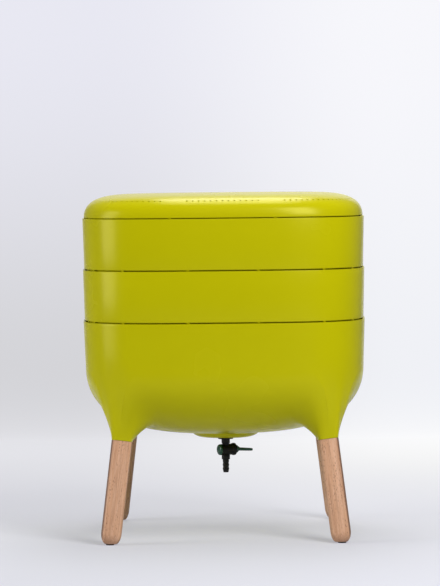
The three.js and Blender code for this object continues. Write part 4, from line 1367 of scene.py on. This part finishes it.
# %% What each kind of ray sees of the paper
def shown_to(tree, straight_share, mirror_share):
    """How much of a glow a ray meets: one share for the camera, another for mirrors and glass."""
    rays = add_node(tree, "ShaderNodeLightPath").outputs
    mirrored = computed(tree, "MAXIMUM", rays["Is Glossy Ray"], rays["Is Transmission Ray"])
    return computed(tree, "MAXIMUM", computed(tree, "MULTIPLY", rays["Is Camera Ray"], straight_share),
                    computed(tree, "MULTIPLY", mirrored, mirror_share))


# Painted light and shade: tones of the paper's glow where it is near, far, curving up and at its top, left
# and right of the object
PAPER_PLACES = (0.1, 0.42, 0.66, 1.0)
PAINTED_LIGHT_LEFT = ((0.74, 0.74, 0.81), (0.82, 0.82, 0.86), (0.66, 0.66, 0.69), (0.81, 0.81, 0.89))
PAINTED_LIGHT_RIGHT = ((0.80, 0.80, 0.88), (1.0, 1.0, 1.0), (0.87, 0.88, 0.92), (0.93, 0.93, 0.97))


# %% The paper's finish
# The paper's length, along the floor and up the wall, from its near to its far tone; its width from
# the left tones to the right ones; where the camera sees its own glow; and where mirrors do
PAPER_LENGTH, PAPER_WIDTH = (-0.7, 3.6), (-0.3, 0.35)
CAMERA_GLOW, NEAR_GLOW = (0.0, 1.5), 0.45
MIRROR_GLOW = (0.7, 1.6)


def sweep_finish():
    material, tree, shader, place = new_finish("studio_sweep")
    axes = add_node(tree, "ShaderNodeSeparateXYZ", {"Vector": place}).outputs
    along = computed(tree, "ADD", axes["Y"], axes["Z"])
    height = ranged(tree, along, *PAPER_LENGTH)
    side = ranged(tree, axes["X"], *PAPER_WIDTH, kind="SMOOTHSTEP")
    # The glow's colour is painted light and shade: lighter on the right, darker on the left and where the
    # paper curves up.
    left, right = (ramp(tree, height, list(zip(PAPER_PLACES, tones)), "EASE")
                   for tones in (PAINTED_LIGHT_LEFT, PAINTED_LIGHT_RIGHT))
    glow = add_node(tree, "ShaderNodeEmission", {"Color": mixed(tree, side, left, right), "Strength": 1.0})
    share = shown_to(tree, ranged(tree, along, *CAMERA_GLOW, NEAR_GLOW, 1.0),
                     ranged(tree, along, *MIRROR_GLOW))
    fill(tree, shader, {"Base Color": (0.66, 0.69, 0.77), "Roughness": 0.9, "Specular IOR Level": 0.1})
    lit = add_node(tree, "ShaderNodeMixShader", {
        "Fac": share, 1: shader.outputs["BSDF"], 2: glow.outputs["Emission"]})
    clear = add_node(tree, "ShaderNodeBsdfTransparent")
    behind = add_node(tree, "ShaderNodeNewGeometry").outputs["Backfacing"]
    one_way = add_node(tree, "ShaderNodeMixShader", {
        "Fac": behind, 1: lit.outputs["Shader"], 2: clear.outputs["BSDF"]})
    output = next(node for node in tree.nodes if node.type == "OUTPUT_MATERIAL")
    fill(tree, output, {"Surface": one_way.outputs["Shader"]})
    return material


sweep = bpy.data.objects.new("sweep", sweep_mesh())
sweep.data.materials.append(sweep_finish())
bpy.context.scene.collection.objects.link(sweep)
sweep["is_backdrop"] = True

# %% [markdown]
# Three softboxes light it. A narrow one overhead draws the bright line along the lid's shoulder, a
# tall one straight to the left stands as a soft stripe on the corner, and a large one in front to
# the right lifts the front and shows as a pale bar on the lid. Each is set by its radiance, so its
# mirror image keeps its strength when its size is changed.

# %% Lamps
WARM_WHITE = (1, 0.965, 0.93)


def softbox(name, place, target, width, height, radiance):
    lamp = bpy.data.lights.new(name, "AREA")
    lamp.shape = "RECTANGLE"
    lamp.size, lamp.size_y = width, height
    lamp.energy = radiance * math.pi * width * height
    lamp.color = WARM_WHITE
    made = bpy.data.objects.new(name, lamp)
    made.location = place
    made.rotation_euler = (Vector(target) - Vector(place)).to_track_quat("-Z", "Y").to_euler()
    bpy.context.scene.collection.objects.link(made)


softbox("overhead", (0.06, 0.40, 1.575), (0.06, 0.097, 0.622), 0.5, 1.16, 7.4)
softbox("left_strip", (-1.5, -0.33, 0.72), (0, -0.12, 0.62), 0.72, 1.25, 5.2)
softbox("front_right", (0.88, -1.40, 1.42), (0, 0, 0.43), 0.8, 1.4, 10.0)

# %% [markdown]
# The world is a dim room for the lamps' sake, and pale where the camera or glass looks past the
# paper. Mirrors get a small share of the pale one.

# %% The world
MIRROR_SHARE = 0.15
world = bpy.data.worlds.new("studio")
world.use_nodes = True
bpy.context.scene.world = world
sky = world.node_tree
sky.nodes.clear()
room = add_node(sky, "ShaderNodeBackground", {"Color": (0.86, 0.87, 0.91), "Strength": 0.10})
pale = add_node(sky, "ShaderNodeBackground", {"Color": (0.76, 0.77, 0.82), "Strength": 1.0})
ways = add_node(sky, "ShaderNodeLightPath").outputs
straight = computed(sky, "MAXIMUM", ways["Is Camera Ray"], ways["Is Transmission Ray"])
shown = computed(sky, "MAXIMUM", straight, computed(sky, "MULTIPLY", ways["Is Glossy Ray"], MIRROR_SHARE))
sky_mix = add_node(sky, "ShaderNodeMixShader", {
    "Fac": shown, 1: room.outputs["Background"], 2: pale.outputs["Background"]})
add_node(sky, "ShaderNodeOutputWorld", {"Surface": sky_mix.outputs["Shader"]})
bpy.context.scene.view_settings.view_transform = "Standard"

# %% [markdown]
# ## Camera
# The picture was taken from four and a half metres away with a long lens, a little above the lid
# and an inch off the middle. It is tilted by six tenths of a degree, so the trays' lines rise to the
# right.

# %% Camera
PICTURE_WIDTH, PICTURE_HEIGHT = 440, 586
DISTANCE = 4.521
SIDESTEP = 0.0263
EYE_HEIGHT = 0.4956
FOCAL_PIXELS = 3409.6
AHEAD_COLUMN = 243.95
HORIZON_ROW = 158.46
ROLL = math.radians(-0.617)
pitch = math.atan((PICTURE_HEIGHT / 2 - HORIZON_ROW) / FOCAL_PIXELS)
yaw = math.atan((AHEAD_COLUMN - PICTURE_WIDTH / 2) / FOCAL_PIXELS)
lens = bpy.data.cameras.new("camera")
lens.sensor_fit = "AUTO"
lens.sensor_width = 36
lens.lens = FOCAL_PIXELS * lens.sensor_width / PICTURE_HEIGHT
lens.clip_end = 50
camera = bpy.data.objects.new("camera", lens)
camera.location = (SIDESTEP, -DISTANCE, EYE_HEIGHT)
aim = (Matrix.Rotation(yaw, 3, "Z") @ Matrix.Rotation(QUARTER - pitch, 3, "X")
       @ Matrix.Rotation(ROLL, 3, "Z"))
camera.rotation_euler = aim.to_euler()
bpy.context.scene.collection.objects.link(camera)
bpy.context.scene.camera = camera
print("lens", round(lens.lens, 1), "mm")

# %% [markdown]
# ## The dressed box
# The dressed model should fill the same box as the imported one, so its box is printed.

# %% Print the dressed box
low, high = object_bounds()
print("dressed box", [round(side, 4) for side in high - low])
